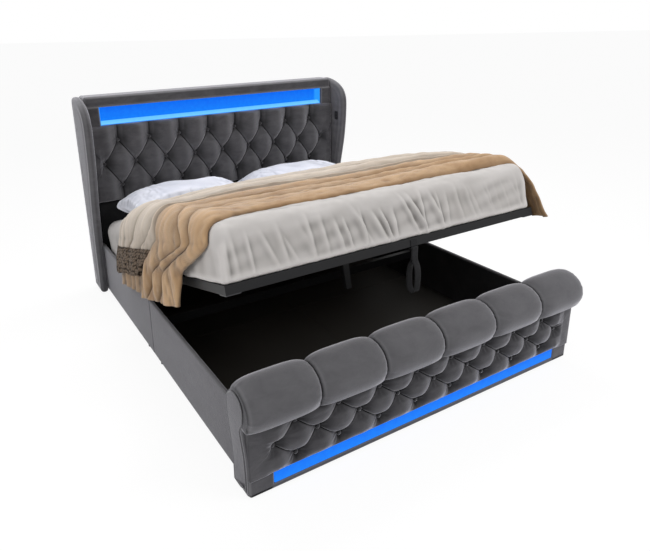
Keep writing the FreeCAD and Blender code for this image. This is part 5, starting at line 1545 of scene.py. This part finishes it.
creamRows = [
    ("seam", "seam", 0, 0.024, 0.010, 1.0), ("seam", "seam", 0, 0.004, 0.030, 0.9),
    ("seam", "seam", 0, 0.014, 0.070, 0.4), ("groove", "groove", 0, -0.018, 0.084, 0.0),
    ("groove", "groove", 0, -0.004, 0.070, 0.5), ("groove", "groove", 0, 0.003, 0.046, 1.0),
    ("groove", "groove", 0, 0.015, 0.078, 0.5), ("groove", "far", 0.18, 0, 0.100, 0.0),
    ("groove", "far", 0.34, 0, 0.098, 0.1), ("groove", "far", 0.38, 0, 0.082, 0.7),
    ("groove", "far", 0.41, 0, 0.080, 0.7), ("groove", "far", 0.46, 0, 0.098, 0.2),
    ("groove", "far", 0.66, 0, 0.106, 0.0), ("groove", "far", 0.84, 0, 0.092, 0.1),
    ("far", "far", 0, -0.030, 0.076, 0.3), ("far", "far", 0, 0.0, 0.026, 0.8),
    ("far", "far", 0, -0.018, -0.004, 1.0),
]
throwJobs = (
    ("tanThrow", tanLines, tanRows, tanCloth, "tan_cloth", "tan_throw", "folded", ["sheetedMattress"]),
    ("creamThrow", creamLines, creamRows, creamCloth, "cream_cloth", "cream_throw", "folded",
     ["sheetedMattress", "tanThrow"]),
    ("knitBand", creamLines, creamRows, knitCloth, "knit_cloth", "throw_band", "hung", ["tanThrow"]),
)

print("stage: throws")
for name, lines, rows, cloth, slot, node, held, under in throwJobs:
    throw, width, length = layThrow(name, lines, rows, cloth)
    dress(throw, "platform", [node])


# pull strap at the foot

strap = {
    "pivot": (-0.92148, 0.76017), "x": 0.065, "width": 0.036, "web": 0.003, "half": 0.0285,
    "neck": 0.700, "low": 0.530, "hem": 0.0042,
    # half of its section, as shares of half its width and half its thickness
    "section": [(-1, -0.4), (-0.97, -1), (-0.5, -1), (0, -1), (0.5, -1), (0.97, -1), (1, -0.4)],
}


def pullStrap():
    y0, z0 = strap["pivot"]
    half, neck, low = strap["half"], strap["neck"], strap["low"]
    right = [(y0 + 0.0022, z0 - 0.004), (y0 + 0.0022, neck + 0.012), (y0 + 0.006, neck - 0.006),
             (y0 + half * 0.72, neck - 0.030), (y0 + half, neck - 0.062), (y0 + half, low + 0.045),
             (y0 + half * 0.70, low + 0.012), (y0, low)]
    left = [(2 * y0 - y, z) for y, z in reversed(right[:-1])]
    line = smoothCurve(right + left, 120)
    ahead = np.gradient(line, axis=0)
    ahead /= np.linalg.norm(ahead, axis=1)[:, None]
    normal = np.stack([ahead[:, 1], -ahead[:, 0]], -1)
    halfWidth, web = strap["width"] / 2, strap["web"] / 2
    section = strap["section"] + [(x, -z) for x, z in reversed(strap["section"])]
    rings = []
    for spot, out in zip(line, normal):
        rings.append([(strap["x"] + halfWidth * across, *(spot + out * web * through))
                      for across, through in section])
    band = tubeMesh("pullStrap", rings, webbingCloth)
    hem = weltPiece("strapHem", [(strap["x"] - halfWidth + strap["width"] * k / 8, y0, z0 - 0.0005)
                                 for k in range(9)], strap["hem"], webbingCloth, sides=12)
    return joinPieces([band, hem], "pullStrap")


print("stage: strap")
dress(pullStrap(), "lift_strap", ["lift_strap"])


# CAD nodes that keep their shape get their finish

print("stage: finishes of the frame")
slotFinishes = {
    "core_board": chipboard, "lining_cloth": liningCloth, "light_lens": blueGlow,
    "pale_light_lens": paleGlow, "port_plastic": plastic, "driver_case": aluminium,
    "bracket_steel": darkSteel, "bay_board": bayBoard, "frame_paint": blackPaint,
    "bumper_rubber": rubber, "foot_plastic": plastic, "leg_plastic": plastic,
    "strut_paint": strutPaint, "strut_chrome": chrome, "slat_wood": beech,
    "webbing": webbingCloth, "velvet": velvetCloth,
}
# the headboard core wears the black lining, which also serves as painted shade in the gap beside the
# wings
ownFinishes = {"headboard_recess_liner": nicheGlow, "headboard_core": liningCloth}
for item in frame["record"]["subparts"]:
    node = cadNodes[item["node"]]
    finish = ownFinishes.get(item["node"]) or slotFinishes.get(item["material_slot"])
    if finish:
        for slot in node.material_slots:
            slot.material = finish


addCamera()
addStudio()
